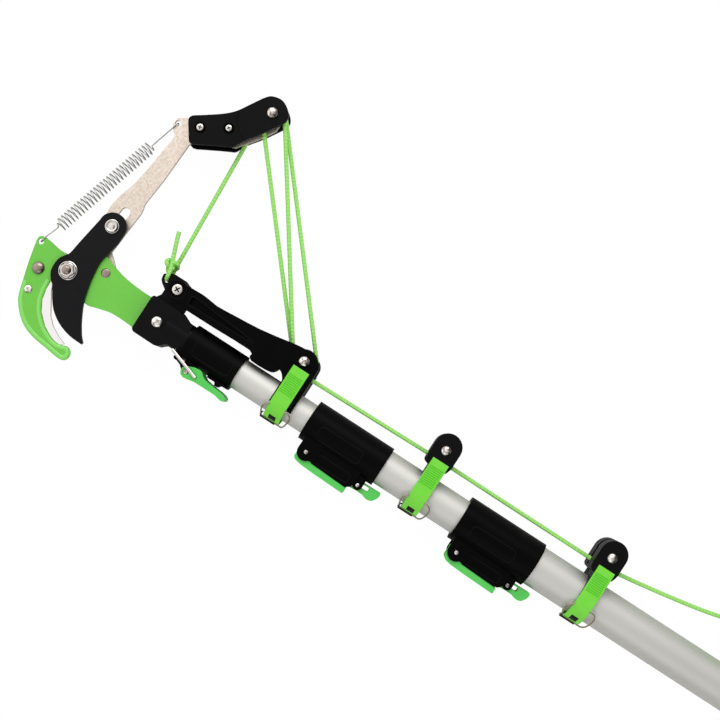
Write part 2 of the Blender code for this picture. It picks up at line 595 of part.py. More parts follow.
lever_1 = plate("clamp_1_lever", LEVER_1_OUTLINE, -LEVER_1_HALF, LEVER_1_HALF, pivot=LEVER_1_PIN, holes=[
    circle(LEVER_1_PIN, SCREW_SHANK + GAP, 12), circle(BAIL_PIVOT, BAIL_WIRE + GAP, 10)])
combine(lever_1, "DIFFERENCE", [
    block("lever_1_fork", (40, -45, -EAR_FRONT - GAP), (80.5, 0, EAR_FRONT + GAP))], GREEN_PLASTIC)
bail_side = LEVER_1_HALF + GAP + BAIL_WIRE
bail_foot = EAR_FRONT + GAP + 0.4
wire("clamp_1_bail", [
    (*BAIL_PIVOT, bail_foot), (*BAIL_PIVOT, bail_side), (*BAIL_BAR, bail_side), (*BAIL_BAR, -bail_side),
    (*BAIL_PIVOT, -bail_side), (*BAIL_PIVOT, -bail_foot)], BAIL_WIRE, 2, (*BAIL_PIVOT, 0), BRIGHT_STEEL)

# The rope bracket: a long black moulding on the first tube, with the two lower sheaves

BRACKET_HALF = 14.0
LEG_HALF = 18.5
LEG_START = 143.5
LEG_END = 166.5
LEG_FOOT = -5.0
SLOT_FLOOR = 27.5
SHEAVE_ROOM = BRACKET_Z + SHEAVE_HALF + 0.6
EAR_GAP = LUG_HALF + GAP
BRACKET_OUTLINE = [
    (26.8, 42.6), (53.9, 41.4), (76.9, 43.1), (99.7, 45.1), (121.5, 48.7), (132.2, 50.8), (143.2, 52.4),
    (152.0, 52.5), (157.2, 51.8), (162.4, 48.7), (165.3, 45.0), (166.3, 39.2), (166.5, 16.0, 1),
    (143.3, 16.0, 1), (142.6, 17.5), (140.8, 20.2), (138.0, 22.8), (133.6, 24.2, 1), (132.4, 21.4),
    (130.0, 18.2), (125.0, 16.4), (109.7, 16.3), (106.0, 19.5), (103.1, 23.7), (65.8, 23.0, 1),
    (31.7, 22.7, 1)]
BRACKET_EAR = 10.0
POCKET = [(33.0, 28.5), (33.0, 36.9), (60.0, 35.2), (105.0, 31.2), (60.0, 29.2)]
POCKET_DEPTH = 4.0
bracket = plate("rope_bracket", flowing(BRACKET_OUTLINE, 2), -BRACKET_HALF, BRACKET_HALF)
combine(bracket, "UNION", [
    rod("bracket_ear", BRACKET_EAR, BRACKET_SCREW, -BRACKET_HALF, BRACKET_HALF),
    block("bracket_neck", (BRACKET_SCREW[0], 24.6, -BRACKET_HALF), (34.0, 42.5, BRACKET_HALF)),
    block("bracket_leg", (LEG_START, 0, -LEG_HALF), (LEG_END, 36.0, LEG_HALF)),
    rod("bracket_leg_foot", LEG_HALF, (0, 0), LEG_START, LEG_END, "X", ROUND)])
combine(bracket, "DIFFERENCE", [
    rod("bracket_saddle", TUBE_1_OUTER + GAP, (0, 0), 20, 180, "X", ROUND),
    block("bracket_saddle_mouth", (100, -30, -LEG_HALF - 1), (180, LEG_FOOT, LEG_HALF + 1)),
    block("ear_fork", (0, 10, -EAR_GAP), (33.0, 60, EAR_GAP)),
    block("sheave_room", (119.0, SLOT_FLOOR, -SHEAVE_ROOM), (180, 70, SHEAVE_ROOM)),
    rod("ear_screw_hole", SCREW_SHANK + GAP, BRACKET_SCREW, -20, 20, steps=12),
    rod("sheave_pin_hole", RIVET_HOLE, BRACKET_SHEAVES, -20, 20),
    plate("pocket_front", POCKET, BRACKET_HALF - POCKET_DEPTH, BRACKET_HALF + 1),
    plate("pocket_rear", POCKET, -BRACKET_HALF - 1, POCKET_DEPTH - BRACKET_HALF)], BLACK_PLASTIC)
headed_pin("bracket_screw", BRACKET_SCREW, SCREW_SHANK, -BRACKET_HALF - GAP, BRACKET_HALF + GAP, 5.0, 2.8,
           4.5, 3.0, material=ZINC)

# The straps: green bands round each tube that hold the bracket and the guides down

STRAP_THICK = 1.6


def strap(name, start, width, reach, top):
    """A band bent round the back of a tube, its two ends rising beside the block that it holds."""
    inner = reach + GAP
    outer = inner + STRAP_THICK
    band = plate(name, [(inner, top), *arc((0, 0), inner, 0, -180, 12), (-inner, top), (-outer, top),
                        *arc((0, 0), outer, -180, 0, 12), (outer, top)], 0, width)
    band.data.transform(Matrix(((0, 0, 1, 0), (0, 1, 0, 0), (-1, 0, 0, 0), (0, 0, 0, 1))))
    band.location = ((start + width / 2 - POLE_REACH) * MM, 0, 0)
    return coat(band, GREEN_PLASTIC)


strap("strap_1", 144.8, 17.0, LEG_HALF, 35.6)

# The rope guides: a black block on each lower tube, with a sheave between its two cheeks

GUIDE_FLOOR = 28.5
GUIDE_ROOM = SHEAVE_HALF + 0.6
GUIDE_TOP = 13.2
GUIDE_RISE = 3.4
GUIDE_WALL = 3.0
GUIDE_UNDERSIDE = [(-13.2, 35.0), (-12.6, 28.4), (-11.2, 26.5), (-8.4, 25.5), (-6.8, 25.2), (-6.8, 0),
                   (9.5, 0), (9.5, 25.6), (11.2, 26.8), (12.8, 31.2), (13.2, 34.5)]


def guide(number, outer, centre, strap_width):
    """A guide block with its pin and its strap."""
    half = outer + GUIDE_WALL
    outline = (arc((centre[0], centre[1] + GUIDE_RISE), GUIDE_TOP, 0, 180, 12)
               + [(centre[0] + x, y) for x, y in GUIDE_UNDERSIDE])
    body = plate(f"guide_{number}_block", outline, -half, half)
    combine(body, "DIFFERENCE", [
        rod(f"guide_{number}_saddle", outer + GAP, (0, 0), centre[0] - 30, centre[0] + 30, "X", ROUND),
        block(f"guide_{number}_room", (centre[0] - 30, GUIDE_FLOOR, -GUIDE_ROOM),
              (centre[0] + 30, 80, GUIDE_ROOM)),
        rod(f"guide_{number}_hole", RIVET_HOLE, centre, -half - 1, half + 1)], BLACK_PLASTIC)
    headed_pin(f"guide_{number}_pin", centre, SHEAVE_PIN, -half - GAP, half + GAP, 4.8, 3.0, 4.8, 2.0,
               material=ZINC)
    strap(f"strap_{number}", centre[0] + 1.5 - strap_width / 2, strap_width, half, 34.4)


guide(2, TUBE_2_OUTER, GUIDE_2, 16.9)
guide(3, TUBE_3_OUTER, GUIDE_3, 16.9)
headed_pin("bracket_sheave_pin", BRACKET_SHEAVES, SHEAVE_PIN, -BRACKET_HALF - GAP, BRACKET_HALF + GAP, 5.3,
           3.6, 5.0, 2.5, material=ZINC)

# Clamps 2 and 3: a collar on the wider tube's end, a lever that squeezes it and a latch for the lever

BOSS_OFFSET = 14.0
LATCH_OFFSET = 70.3
PIN_DROP = 9.4
LEVER_HALF = 12.0
LUG_SIDE = 8.7
CHEEK_SIDE = 14.0
JAW_HALF = 13.0
EAR_INNER = 6.3
EAR_OUTER = 9.5
LATCH_OUTLINE = [(63.6, -13.6), (63.4, -15.2), (66.2, -14.9), (72.1, -14.5), (78.6, -14.7), (81.5, -15.8),
                 (85.3, -16.3), (89.0, -15.1), (91.9, -11.2), (93.1, -7.9), (92.8, -5.2), (91.8, -4.5)]


def lever_clamp(number, start, outer, inner):
    """The clamp at the end of a tube, where the next one slides in."""
    pin = (start + BOSS_OFFSET, -outer - PIN_DROP)
    latch_pin = (start + LATCH_OFFSET, -outer - PIN_DROP)
    end = start + CLAMP_LENGTH
    root = 4.0 - outer
    half = outer + GAP + CLAMP_WALL
    body = rod(f"clamp_{number}_body", half, (0, 0), start, end, "X", ROUND)
    lug = [(pin[0] + 7, root), (pin[0] - 5.6, root), *arc(pin, 5.6, 180, 360, 8)]
    cheek = [(start + 26, root), (pin[0] - 8.0, root), *arc(pin, 8.5, 175, 315, 8),
             (start + 26, -outer - 13.5)]
    ear = [(latch_pin[0] + 4.7, root), (latch_pin[0] - 4.7, root), *arc(latch_pin, 4.7, 180, 360, 8)]
    jaw = [(start + 23.5, root), (start + 23.5, -outer - 13.8), (start + 25.0, -outer - 15.3),
           (start + 60.5, -outer - 16.7), (start + 62.6, -outer - 16.3), (start + 65.5, -outer - 14.1),
           (start + 67.0, -outer - 10.5), (start + 67.0, root)]
    combine(body, "UNION", [
        block(f"clamp_{number}_jaw", (start + 23.5, -outer - 15, -9), (start + 60.5, root, 9)),
        plate(f"clamp_{number}_jaw_front", jaw, EAR_INNER, JAW_HALF),
        plate(f"clamp_{number}_jaw_rear", jaw, -JAW_HALF, -EAR_INNER),
        plate(f"clamp_{number}_lug", lug, -LUG_SIDE, LUG_SIDE),
        plate(f"clamp_{number}_cheek_front", cheek, LEVER_HALF + GAP, CHEEK_SIDE),
        plate(f"clamp_{number}_cheek_rear", cheek, -CHEEK_SIDE, -LEVER_HALF - GAP),
        plate(f"clamp_{number}_ear_front", ear, EAR_INNER + 0.1, EAR_OUTER),
        plate(f"clamp_{number}_ear_rear", ear, -EAR_OUTER, -EAR_INNER - 0.1),
        rod(f"clamp_{number}_lever_pin", SCREW_SHANK, pin, -LEVER_HALF - 1.1, LEVER_HALF + 1.1, steps=14),
        rod(f"clamp_{number}_latch_pin", 2.0, latch_pin, -EAR_OUTER, EAR_OUTER, steps=12)])
    combine(body, "DIFFERENCE", [
        rod(f"clamp_{number}_bore", outer + GAP, (0, 0), start + CLAMP_LIP, end + 1, "X", ROUND),
        rod(f"clamp_{number}_mouth", inner + GAP, (0, 0), start - 1, start + CLAMP_LIP + 1, "X", ROUND)],
        BLACK_PLASTIC)
    low = -outer - 23.4
    lever_shape = [*arc(pin, 7.6, -20, 190, 9), (pin[0] - 7.5, low + 6.0), (pin[0] - 6.8, low + 4.2),
                   (pin[0] - 4.6, low + 2.8), (pin[0] + 1.4, low + 1.6), (pin[0] + 14, low + 0.9),
                   (start + 61.6, low), (start + 62.6, low + 0.8), (start + 62.4, low + 6.0),
                   (pin[0] + 10, low + 7.5), (pin[0] + 8.5, low + 8.5)]
    lever = plate(f"clamp_{number}_lever", lever_shape, -LEVER_HALF, LEVER_HALF, pivot=pin,
                  holes=[circle(pin, SCREW_SHANK + GAP, 12)])
    room = LUG_SIDE + GAP
    combine(lever, "DIFFERENCE", [
        block(f"clamp_{number}_lever_fork", (start - 5, low + 8.0, -room), (start + 40, 0, room)),
        block(f"clamp_{number}_lever_heel", (start - 5, low - 1, -room), (pin[0] - 6.2, low + 9.0, room))],
        GREEN_PLASTIC)
    latch_shape = arc(latch_pin, 4.6, 90, 215, 6) + [(start + x, -outer + y) for x, y in LATCH_OUTLINE]
    window = rounded(rectangle((latch_pin[0] + 4.4, -outer - 10.3), (latch_pin[0] + 10.8, -outer - 6.1)), 1.2,
                     2)
    plate(f"clamp_{number}_latch", latch_shape, -6, 6, pivot=latch_pin, material=GREEN_PLASTIC,
          holes=[circle(latch_pin, 2.0 + GAP, 12), window])


lever_clamp(2, CLAMP_2_START, TUBE_2_OUTER, TUBE_1_OUTER)
lever_clamp(3, CLAMP_3_START, TUBE_3_OUTER, TUBE_2_OUTER)

# The return spring: one wire from the plate's eye through the coils, and a hook at the arm's ear

SPRING_WIRE = 0.6
SPRING_MEAN = 5.9
SPRING_CURLS = 24
CURL_POINTS = 8
SPRING_Z = -0.9
COIL_FROM = 21.0
COIL_TO = 136.0
HOOK_SIDE = PLATE_HALF + SPRING_WIRE + GAP

spring_line = Vector((SPRING_EAR[0] - SPRING_EYE[0], SPRING_EAR[1] - SPRING_EYE[1]))
spring_reach = spring_line.length
spring_along = spring_line.normalized()
spring_across = Vector((-spring_along.y, spring_along.x))


def at_spring(distance, side, height):
    """A point by its distance along the spring from the plate's eye, beside its axis and above the plate."""
    spot = Vector(SPRING_EYE) + spring_along * distance + spring_across * side
    return spot.x, spot.y, height


def least_gap(name, points, radius, near):
    """Prints how near a wound tube comes to itself, leaving out points less than one bend apart."""
    run = [Vector(p) for p in points]
    closest = min((a - b).length for i, a in enumerate(run) for b in run[i + near:])
    print(f"{name}: least gap to itself {closest - 2 * radius:.2f} mm")


lower_hook = swept([at_spring(5.0, 0, -HOOK_SIDE), at_spring(2.0, 0, -HOOK_SIDE), at_spring(0.0, 0, -0.8),
                    at_spring(0.0, 0, 0.8), at_spring(2.0, 0, HOOK_SIDE), at_spring(8.0, 0, HOOK_SIDE),
                    at_spring(15.0, 0, 0.2), at_spring(COIL_FROM - 2, 0, SPRING_Z)], 2)
curls = []
steps_of_coil = SPRING_CURLS * CURL_POINTS
for step in range(steps_of_coil + 1):
    turn = 2 * math.pi * step / CURL_POINTS
    end_steps = min(step, steps_of_coil - step)
    radius = SPRING_MEAN * min(1.0, (end_steps + 0.5) / (0.5 * CURL_POINTS))
    distance = COIL_FROM + (COIL_TO - COIL_FROM) * step / steps_of_coil
    curls.append(at_spring(distance, radius * math.sin(turn), SPRING_Z + radius * math.cos(turn)))
spring_path = lower_hook + curls + [at_spring(COIL_TO + 1.5, 0, SPRING_Z),
                                    at_spring(COIL_TO + 3.0, 0, SPRING_Z)]
least_gap("return_spring", spring_path, SPRING_WIRE, CURL_POINTS - 2)
wire("return_spring", spring_path, SPRING_WIRE, 1, (*SPRING_EYE, 0), BRIGHT_STEEL)
ear_front = ARM_FRONT + GAP + SPRING_WIRE
ear_back = ARM_BACK - GAP - SPRING_WIRE
wire("spring_hook", swept([
    at_spring(COIL_TO + 3.0 + GAP, 0, SPRING_Z), at_spring(COIL_TO + 8.0, 0, SPRING_Z),
    at_spring(spring_reach - 3.0, 0, ear_front), at_spring(spring_reach - 0.6, 0, ear_front),
    at_spring(spring_reach, 0, ear_front - 1.4), at_spring(spring_reach, 0, ear_back + 1.4),
    at_spring(spring_reach - 1.0, 0, ear_back), at_spring(spring_reach - 4.5, 0, ear_back)], 2),
    SPRING_WIRE, 1, (*SPRING_EYE, 0), BRIGHT_STEEL)

# The rope, in the stretches between what it runs over


def fall_angles():
    """Directions, in degrees, from a sheave's centre to where the rope leaves it."""
    run = Vector(BRACKET_SHEAVES) - Vector(ARM_SHEAVES)
    heading = math.degrees(math.atan2(run.y, run.x))
    crossing = math.degrees(math.asin(2 * SHEAVE_TRACK / run.length))
    return heading + 90, heading + 90 - crossing


OPEN_SIDE, CROSS_SIDE = fall_angles()
TAIL_SIDE = 180.0


def on_sheave(centre, angle, height):
    """A point of the rope's track round a sheave."""
    return (*arc(centre, SHEAVE_TRACK, angle, angle, 1)[0], height)


def round_sheave(centre, start, end, height, steps=8):
    return [(x, y, height) for x, y in arc(centre, SHEAVE_TRACK, start, end, steps)]


def between(start, end, first=0.0, last=0.0, steps=1):
    """A straight stretch of rope that stops short of its ends by two lengths."""
    a, b = Vector(start), Vector(end)
    along = (b - a).normalized()
    a, b = a + along * first, b - along * last
    return [a.lerp(b, i / steps) for i in range(steps + 1)]


def trimmed(points, start, end):
    """The same run with a little cut off each end."""
    run = [Vector(p) for p in points]
    run[0] = run[0] + (run[1] - run[0]).normalized() * start
    run[-1] = run[-1] + (run[-2] - run[-1]).normalized() * end
    return run


def rope(name, points, detail=2):
    wire(name, points, ROPE, detail, material=GREEN_ROPE)


HALF_GAP = GAP / 2 + 0.17
KNOT_TOP = (EYELET[0] - 1.6, EYELET[1] + 18.5, -7.9)
tail_top = on_sheave(ARM_SHEAVES, TAIL_SIDE, ARM_REAR_Z)
tail = between(KNOT_TOP, tail_top, steps=2)
rope("rope_tail_lower", trimmed(tail[:2], HALF_GAP, HALF_GAP))
rope("rope_tail_upper", trimmed(tail[1:], HALF_GAP, HALF_GAP))
rope("rope_wrap_rear", trimmed(round_sheave(ARM_SHEAVES, TAIL_SIDE, OPEN_SIDE, ARM_REAR_Z), HALF_GAP,
                               HALF_GAP))
rope("rope_loop", trimmed(
    between(on_sheave(ARM_SHEAVES, OPEN_SIDE, ARM_REAR_Z), on_sheave(BRACKET_SHEAVES, OPEN_SIDE, -BRACKET_Z),
            0, 2)
    + round_sheave(BRACKET_SHEAVES, OPEN_SIDE, OPEN_SIDE - 180, -BRACKET_Z, 8)
    + between(on_sheave(BRACKET_SHEAVES, OPEN_SIDE - 180, -BRACKET_Z),
              on_sheave(ARM_SHEAVES, OPEN_SIDE - 180, ARM_FRONT_Z), 2, 0), HALF_GAP, HALF_GAP))
rope("rope_wrap_front", trimmed(
    round_sheave(ARM_SHEAVES, OPEN_SIDE + 180, CROSS_SIDE, ARM_FRONT_Z, 8), HALF_GAP, HALF_GAP))
rope("rope_cross", between(on_sheave(ARM_SHEAVES, CROSS_SIDE, ARM_FRONT_Z),
                           on_sheave(BRACKET_SHEAVES, CROSS_SIDE - 180, BRACKET_Z), HALF_GAP, HALF_GAP))
under_2 = (GUIDE_2[0], GUIDE_2[1] - SHEAVE_TRACK, 0)
under_3 = (GUIDE_3[0], GUIDE_3[1] - SHEAVE_TRACK, 0)
rope("rope_run_1", trimmed(
    round_sheave(BRACKET_SHEAVES, CROSS_SIDE - 180, -90, BRACKET_Z)
    + between(on_sheave(BRACKET_SHEAVES, -90, BRACKET_Z), under_2, 4, 0), HALF_GAP, HALF_GAP))
rope("rope_run_2", between(under_2, under_3, HALF_GAP, HALF_GAP))

KNOT_ROUTE = [
    (-12.7, 80.1, 4.0), (-9.5, 71.0, 4.4), (-6.4, 62.0, 5.2), (-3.0, 53.5, 6.8), (0.2, 46.0, 8.4),
    (1.2, 41.8, 8.6), (1.7, 38.8, 7.9), (EYELET[0], EYELET[1] + 0.2, 6.0), (EYELET[0], EYELET[1] + 0.2, -6.0),
    (1.7, 38.8, -7.9), (1.4, 41.8, -8.6), (1.0, 46.0, -8.4), (0.6, 50.5, -8.1), KNOT_TOP]
rope("rope_knot", trimmed(KNOT_ROUTE, 0, HALF_GAP))

coil_low = FLOOR + ROPE
FREE_ROUTE = [
    (under_3[0] + HALF_GAP, under_3[1], 0.0), (492.0, under_3[1] + 0.6, 0.0), (510.0, 36.8, -0.4),
    (535.0, 40.6, -2.2), (560.0, 44.8, -5.4), (585.0, 49.4, -9.8), (607.0, 54.4, -14.6), (625.0, 60.0, -18.6),
    (640.0, 65.8, -21.6), (649.0, 68.8, -22.9), (655.6, COIL_CENTRE[1] - COIL_RADIUS, coil_low)]
rope("rope_free", swept(FREE_ROUTE, 2))

COIL_POINTS = 16
coil_path = [(COIL_CENTRE[0] - 4.0, COIL_CENTRE[1] - COIL_RADIUS, coil_low)]
turns_each = COIL_TURNS / COIL_LAYERS
for step in range(COIL_TURNS * COIL_POINTS + 1):
    turn = step / COIL_POINTS
    angle = math.radians(-90) + 2 * math.pi * turn
    swing = abs(turn % (2 * turns_each) - turns_each)
    radius = COIL_RADIUS - COIL_PITCH * (turns_each - swing)
    layer = round(turn / turns_each)
    climb = min(max((turn - layer * turns_each) * 2 + 0.5, 0), 1) if 0 < layer < COIL_LAYERS else None
    level = math.floor(turn / turns_each) if climb is None else layer - 1 + climb
    height = coil_low + COIL_PITCH * min(level, COIL_LAYERS - 1)
    coil_path.append((COIL_CENTRE[0] + radius * math.cos(angle), COIL_CENTRE[1] + radius * math.sin(angle),
                      height))
coil_exit = coil_path[-1]
HANDLE_RADIUS = 8.0
HANDLE_LENGTH = 92.0
HANDLE_START = (724.0, 64.0, FLOOR + HANDLE_RADIUS)
coil_tail = swept([coil_exit, (coil_exit[0] + 14, coil_exit[1] - 0.3, coil_exit[2] + 0.2),
                   (coil_exit[0] + 34, coil_exit[1] - 3, coil_exit[2] - 3.2),
                   (HANDLE_START[0] - 8, HANDLE_START[1], HANDLE_START[2]),
                   (HANDLE_START[0] - GAP, HANDLE_START[1], HANDLE_START[2])], 3)
coil_path += [tuple(p) for p in coil_tail[1:]]
least_gap("rope_coil", coil_path, ROPE, COIL_POINTS - 6)
rope("rope_coil", coil_path, 1)
turned("pull_handle", [
    (0, HANDLE_LENGTH), (HANDLE_RADIUS - 2.5, HANDLE_LENGTH), (HANDLE_RADIUS, HANDLE_LENGTH - 2.5),
    (HANDLE_RADIUS - 1.6, HANDLE_LENGTH * 0.75), (HANDLE_RADIUS - 1.6, HANDLE_LENGTH * 0.25),
    (HANDLE_RADIUS, 2.5), (HANDLE_RADIUS - 2.5, 0), (0, 0)], HANDLE_START, "X", 12, BLACK_PLASTIC)
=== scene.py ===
"""The looks of a telescopic pole saw with a rope-worked pruner on its head, lying on a pale studio floor.

Sizes are in millimetres in the head's own frame: X runs down the pole from the head socket's front face, Y
points to the rope's side and Z to the viewer. They are placed in metres, from the middle of the pole's butt.
"""
import math

import bpy
from mathutils import Matrix, Vector


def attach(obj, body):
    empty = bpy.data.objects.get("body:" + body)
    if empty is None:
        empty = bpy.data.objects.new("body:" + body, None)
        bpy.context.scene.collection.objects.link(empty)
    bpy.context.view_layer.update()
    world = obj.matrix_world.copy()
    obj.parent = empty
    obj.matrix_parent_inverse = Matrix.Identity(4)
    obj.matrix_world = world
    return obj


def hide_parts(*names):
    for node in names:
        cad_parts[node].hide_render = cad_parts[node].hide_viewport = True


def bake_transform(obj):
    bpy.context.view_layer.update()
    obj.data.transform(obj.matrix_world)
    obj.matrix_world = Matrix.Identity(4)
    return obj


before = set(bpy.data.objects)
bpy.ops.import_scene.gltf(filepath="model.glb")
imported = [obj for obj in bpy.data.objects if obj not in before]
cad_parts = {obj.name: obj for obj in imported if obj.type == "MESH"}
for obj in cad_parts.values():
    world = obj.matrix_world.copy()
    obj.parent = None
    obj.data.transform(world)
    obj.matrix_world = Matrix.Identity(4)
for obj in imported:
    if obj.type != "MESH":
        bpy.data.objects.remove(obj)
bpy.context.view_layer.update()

# The camera: square on to the tool's side, rolled so that the pole falls 33 degrees to the right. The
# picture's centre is shifted, because the photograph is a part of a wider frame.

MM = 0.001
POLE_REACH = 1778.0
ROLL = 33.0
CAMERA_PLACE = (261.1, 34.4, 1250.0)
FRAME_WIDTH = 669.6
SENSOR = 36.0
FRAME_SHIFT = (-0.0556, 0.1028)


def at(x, y, z=0.0):
    """A point of the head's frame, in the scene's metres."""
    return Vector(((x - POLE_REACH) * MM, y * MM, z * MM))


bpy.ops.object.camera_add(location=at(*CAMERA_PLACE), rotation=(0, 0, math.radians(ROLL)))
camera = bpy.context.object
camera.data.sensor_width = SENSOR
camera.data.lens = SENSOR * CAMERA_PLACE[2] / FRAME_WIDTH
camera.data.shift_x, camera.data.shift_y = FRAME_SHIFT
camera.data.clip_start = 0.05
bpy.context.scene.camera = camera

# The rope: one braided line, lime green. From a knot in the socket's ear it runs up over the arm's sheaves
# and back round the bracket's, then under the two guides.

ROPE = 2.0
ROPE_SIDES = 16
BRAID_PITCH = 7.0
BRAID_STRANDS = 3
SHEAVE_TRACK = 10.6
ARM_SHEAVES = (0.8, 219.0)
BRACKET_SHEAVES = (151.0, 42.0)
GUIDE_2 = (305.0, 44.6)
GUIDE_3 = (485.5, 44.6)
ARM_FRONT_Z = 1.9
ARM_REAR_Z = -9.5
BRACKET_Z = 4.2
GAP = 0.3
WRAP_GAP = 2
FALL_START = 0.06
ROPE_GREEN = (0.46, 0.97, 0.22)
# The rope's colour in the braid's grooves, darker: painted shade.
ROPE_GROOVE_PAINTED_SHADE = (0.25, 0.78, 0.12)


class Value:
    """One value of a material's node tree, so that a finish is written as an ordinary sum of noises."""

    def __init__(self, tree, socket):
        self.tree = tree
        self.socket = socket

    def node(self, kind, settings, sockets, output=0):
        """A new node: its settings come first, then the values or links of its sockets."""
        made = self.tree.nodes.new(kind)
        for name, value in settings.items():
            setattr(made, name, value)
        for name, value in sockets.items():
            if isinstance(value, Value):
                self.tree.links.new(value.socket, made.inputs[name])
            else:
                made.inputs[name].default_value = value
        return Value(self.tree, made.outputs[output])

    def maths(self, operation, first, second=0.0):
        return self.node("ShaderNodeMath", {"operation": operation}, {0: first, 1: second})

    def sine(self):
        return self.maths("SINE", self)

    def at_least(self, floor):
        return self.maths("MAXIMUM", self, floor)

    def __add__(self, other):
        return self.maths("ADD", self, other)

    def __sub__(self, other):
        return self.maths("SUBTRACT", self, other)

    def __mul__(self, other):
        return self.maths("MULTIPLY", self, other)

    def within(self, low, high):
        """From 0 at low to 1 at high, and no further."""
        return self.node("ShaderNodeMapRange", {}, {"Value": self, "From Min": low, "From Max": high})

    def noise(self, scale, detail=2.0, stretch=(1, 1, 1)):
        """Noise on these coordinates: scale is its number of cells in a metre."""
        spread = self.node("ShaderNodeMapping", {}, {"Vector": self, "Scale": stretch})
        return self.node("ShaderNodeTexNoise", {}, {"Vector": spread, "Scale": scale, "Detail": detail})

    def between(self, first, second):
        """A colour between two, where this value says how far."""
        ends = {0: self, 6: (*first, 1), 7: (*second, 1)}
        return self.node("ShaderNodeMix", {"data_type": "RGBA"}, ends, 2)


def material(name, colour, metallic, roughness, coat=0.0, gloss=0.5):
    """A new material, its shader's plain values, and its piece's coordinates."""
    made = bpy.data.materials.new(name)
    made.use_nodes = True
    tree = made.node_tree
    shader = tree.nodes["Principled BSDF"]
    shader.inputs["Base Color"].default_value = (*colour, 1)
    shader.inputs["Metallic"].default_value = metallic
    shader.inputs["Roughness"].default_value = roughness
    shader.inputs["Coat Weight"].default_value = coat
    shader.inputs["Coat Roughness"].default_value = 0.15
    shader.inputs["Specular IOR Level"].default_value = gloss
    places = Value(tree, tree.nodes.new("ShaderNodeTexCoord").outputs["Object"])
    return made, shader, places


def feed(shader, **inputs):
    """Links values to the shader's sockets. A height becomes a bump on its normal."""
    for name, value in inputs.items():
        if name == "height":
            amount, depth = value
            value = amount.node("ShaderNodeBump", {}, {"Height": amount, "Distance": depth, "Strength": 1.0})
            name = "Normal"
        value.tree.links.new(value.socket, shader.inputs[name.replace("_", " ")])


green_rope, shader, places = material("green_rope", ROPE_GREEN, 0.0, 0.7)
uv = places.node("ShaderNodeUVMap", {"uv_map": "braid"}, {})
along = uv.node("ShaderNodeSeparateXYZ", {}, {"Vector": uv}, 0)
round_rope = uv.node("ShaderNodeSeparateXYZ", {}, {"Vector": uv}, 1)
turn = 2 * math.pi
rising = (along * turn + round_rope * (BRAID_STRANDS * turn)).sine()
falling = (along * turn - round_rope * (BRAID_STRANDS * turn)).sine()
braid = (rising * falling) * 0.5 + 0.5
fibre = places.noise(9000.0, 3.0)
# The colour darkens where the braid's bump is low, in its grooves: painted shade.
feed(shader, Base_Color=(braid * 0.75 + fibre * 0.5).within(0.1, 0.8).between(ROPE_GROOVE_PAINTED_SHADE, ROPE_GREEN),
     height=(braid + fibre * 0.3, 0.0006))


def smooth_run(points, steps):
    """A smooth run through points in space."""
    run = [Vector(p) for p in points]
    result = []
    for i in range(len(run) - 1):
        leave = (run[i + 1] - run[max(i - 1, 0)]) / 2
        arrive = (run[min(i + 2, len(run) - 1)] - run[i]) / 2
        for step in range(steps):
            t = step / steps
            result.append(run[i] * (2 * t**3 - 3 * t**2 + 1) + leave * (t**3 - 2 * t**2 + t)
                          + run[i + 1] * (3 * t**2 - 2 * t**3) + arrive * (t**3 - t**2))
    result.append(run[-1])
    return result


def new_piece(name, data):
    """A new object in the scene, at its origin."""
    piece = bpy.data.objects.new(name, data)
    bpy.context.scene.collection.objects.link(piece)
    return piece


def tube_along(name, points, radius, sides, pitch=1.0):
    """A closed round tube along points of the head's frame, with its length and girth as its UV map."""
    run = [Vector(p) for p in points]
    corners = []
    faces = []
    lengths = [0.0]
    side = None
    for i, spot in enumerate(run):
        heading = (run[min(i + 1, len(run) - 1)] - run[max(i - 1, 0)]).normalized()
        if side is None:
            side = heading.cross(Vector((0.1, 0.2, 1.0))).normalized()
        side = (side - heading * side.dot(heading)).normalized()
        other = heading.cross(side)
        for step in range(sides):
            angle = 2 * math.pi * step / sides
            across, up = radius * math.cos(angle), radius * math.sin(angle)
            corners.append(at(*(spot + side * across + other * up)))
        if i:
            lengths.append(lengths[-1] + (spot - run[i - 1]).length)
            for step in range(sides):
                after = (step + 1) % sides
                low = (i - 1) * sides
                high = i * sides
                faces.append((low + step, low + after, high + after, high + step))
    faces.append(tuple(reversed(range(sides))))
    faces.append(tuple(range(len(corners) - sides, len(corners))))
    mesh = bpy.data.meshes.new(name)
    mesh.from_pydata(corners, [], faces)
    layer = mesh.uv_layers.new(name="braid")
    for face in mesh.polygons:
        wraps = len(face.vertices) == 4 and {0, sides - 1} <= {corner % sides for corner in face.vertices}
        for loop in face.loop_indices:
            corner = mesh.loops[loop].vertex_index
            step = corner % sides
            girth = 1.0 if wraps and step == 0 else step / sides
            layer.data[loop].uv = (lengths[corner // sides] / pitch, girth)
    piece = new_piece(name, mesh)
    mesh.shade_smooth()
    mesh.set_sharp_from_angle(angle=math.radians(60))
    return piece


def dress(piece, body, slot, look, *nodes):
    """Gives a piece its material and its body, and hides the CAD nodes that it stands for. The slot is not
    used.
    """
    piece.data.materials.clear()
    piece.data.materials.append(look)
    if body:
        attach(piece, body)
    if nodes:
        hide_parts(*nodes)
    return piece


def rope(name, points, body, *nodes):
    """A stretch of the rope, which stands for its CAD nodes."""
    piece = tube_along(name, points, ROPE, ROPE_SIDES, BRAID_PITCH)
    return dress(piece, body, "green_rope", green_rope, *nodes)


def on_circle(centre, radius, angle):
    """A flat point on a circle, at an angle in radians."""
    return centre[0] + radius * math.cos(angle), centre[1] + radius * math.sin(angle)


def round_sheave(centre, start, end, height, steps=24):
    """Points of the rope's track on a sheave, from one angle in degrees to another."""
    turns = [math.radians(start + (end - start) * step / steps) for step in range(steps + 1)]
    return [(*on_circle(centre, SHEAVE_TRACK, t), height) for t in turns]


def straight(start, end, steps):
    """Points of a straight run."""
    first, last = Vector(start), Vector(end)
    return [first.lerp(last, i / steps) for i in range(steps + 1)]


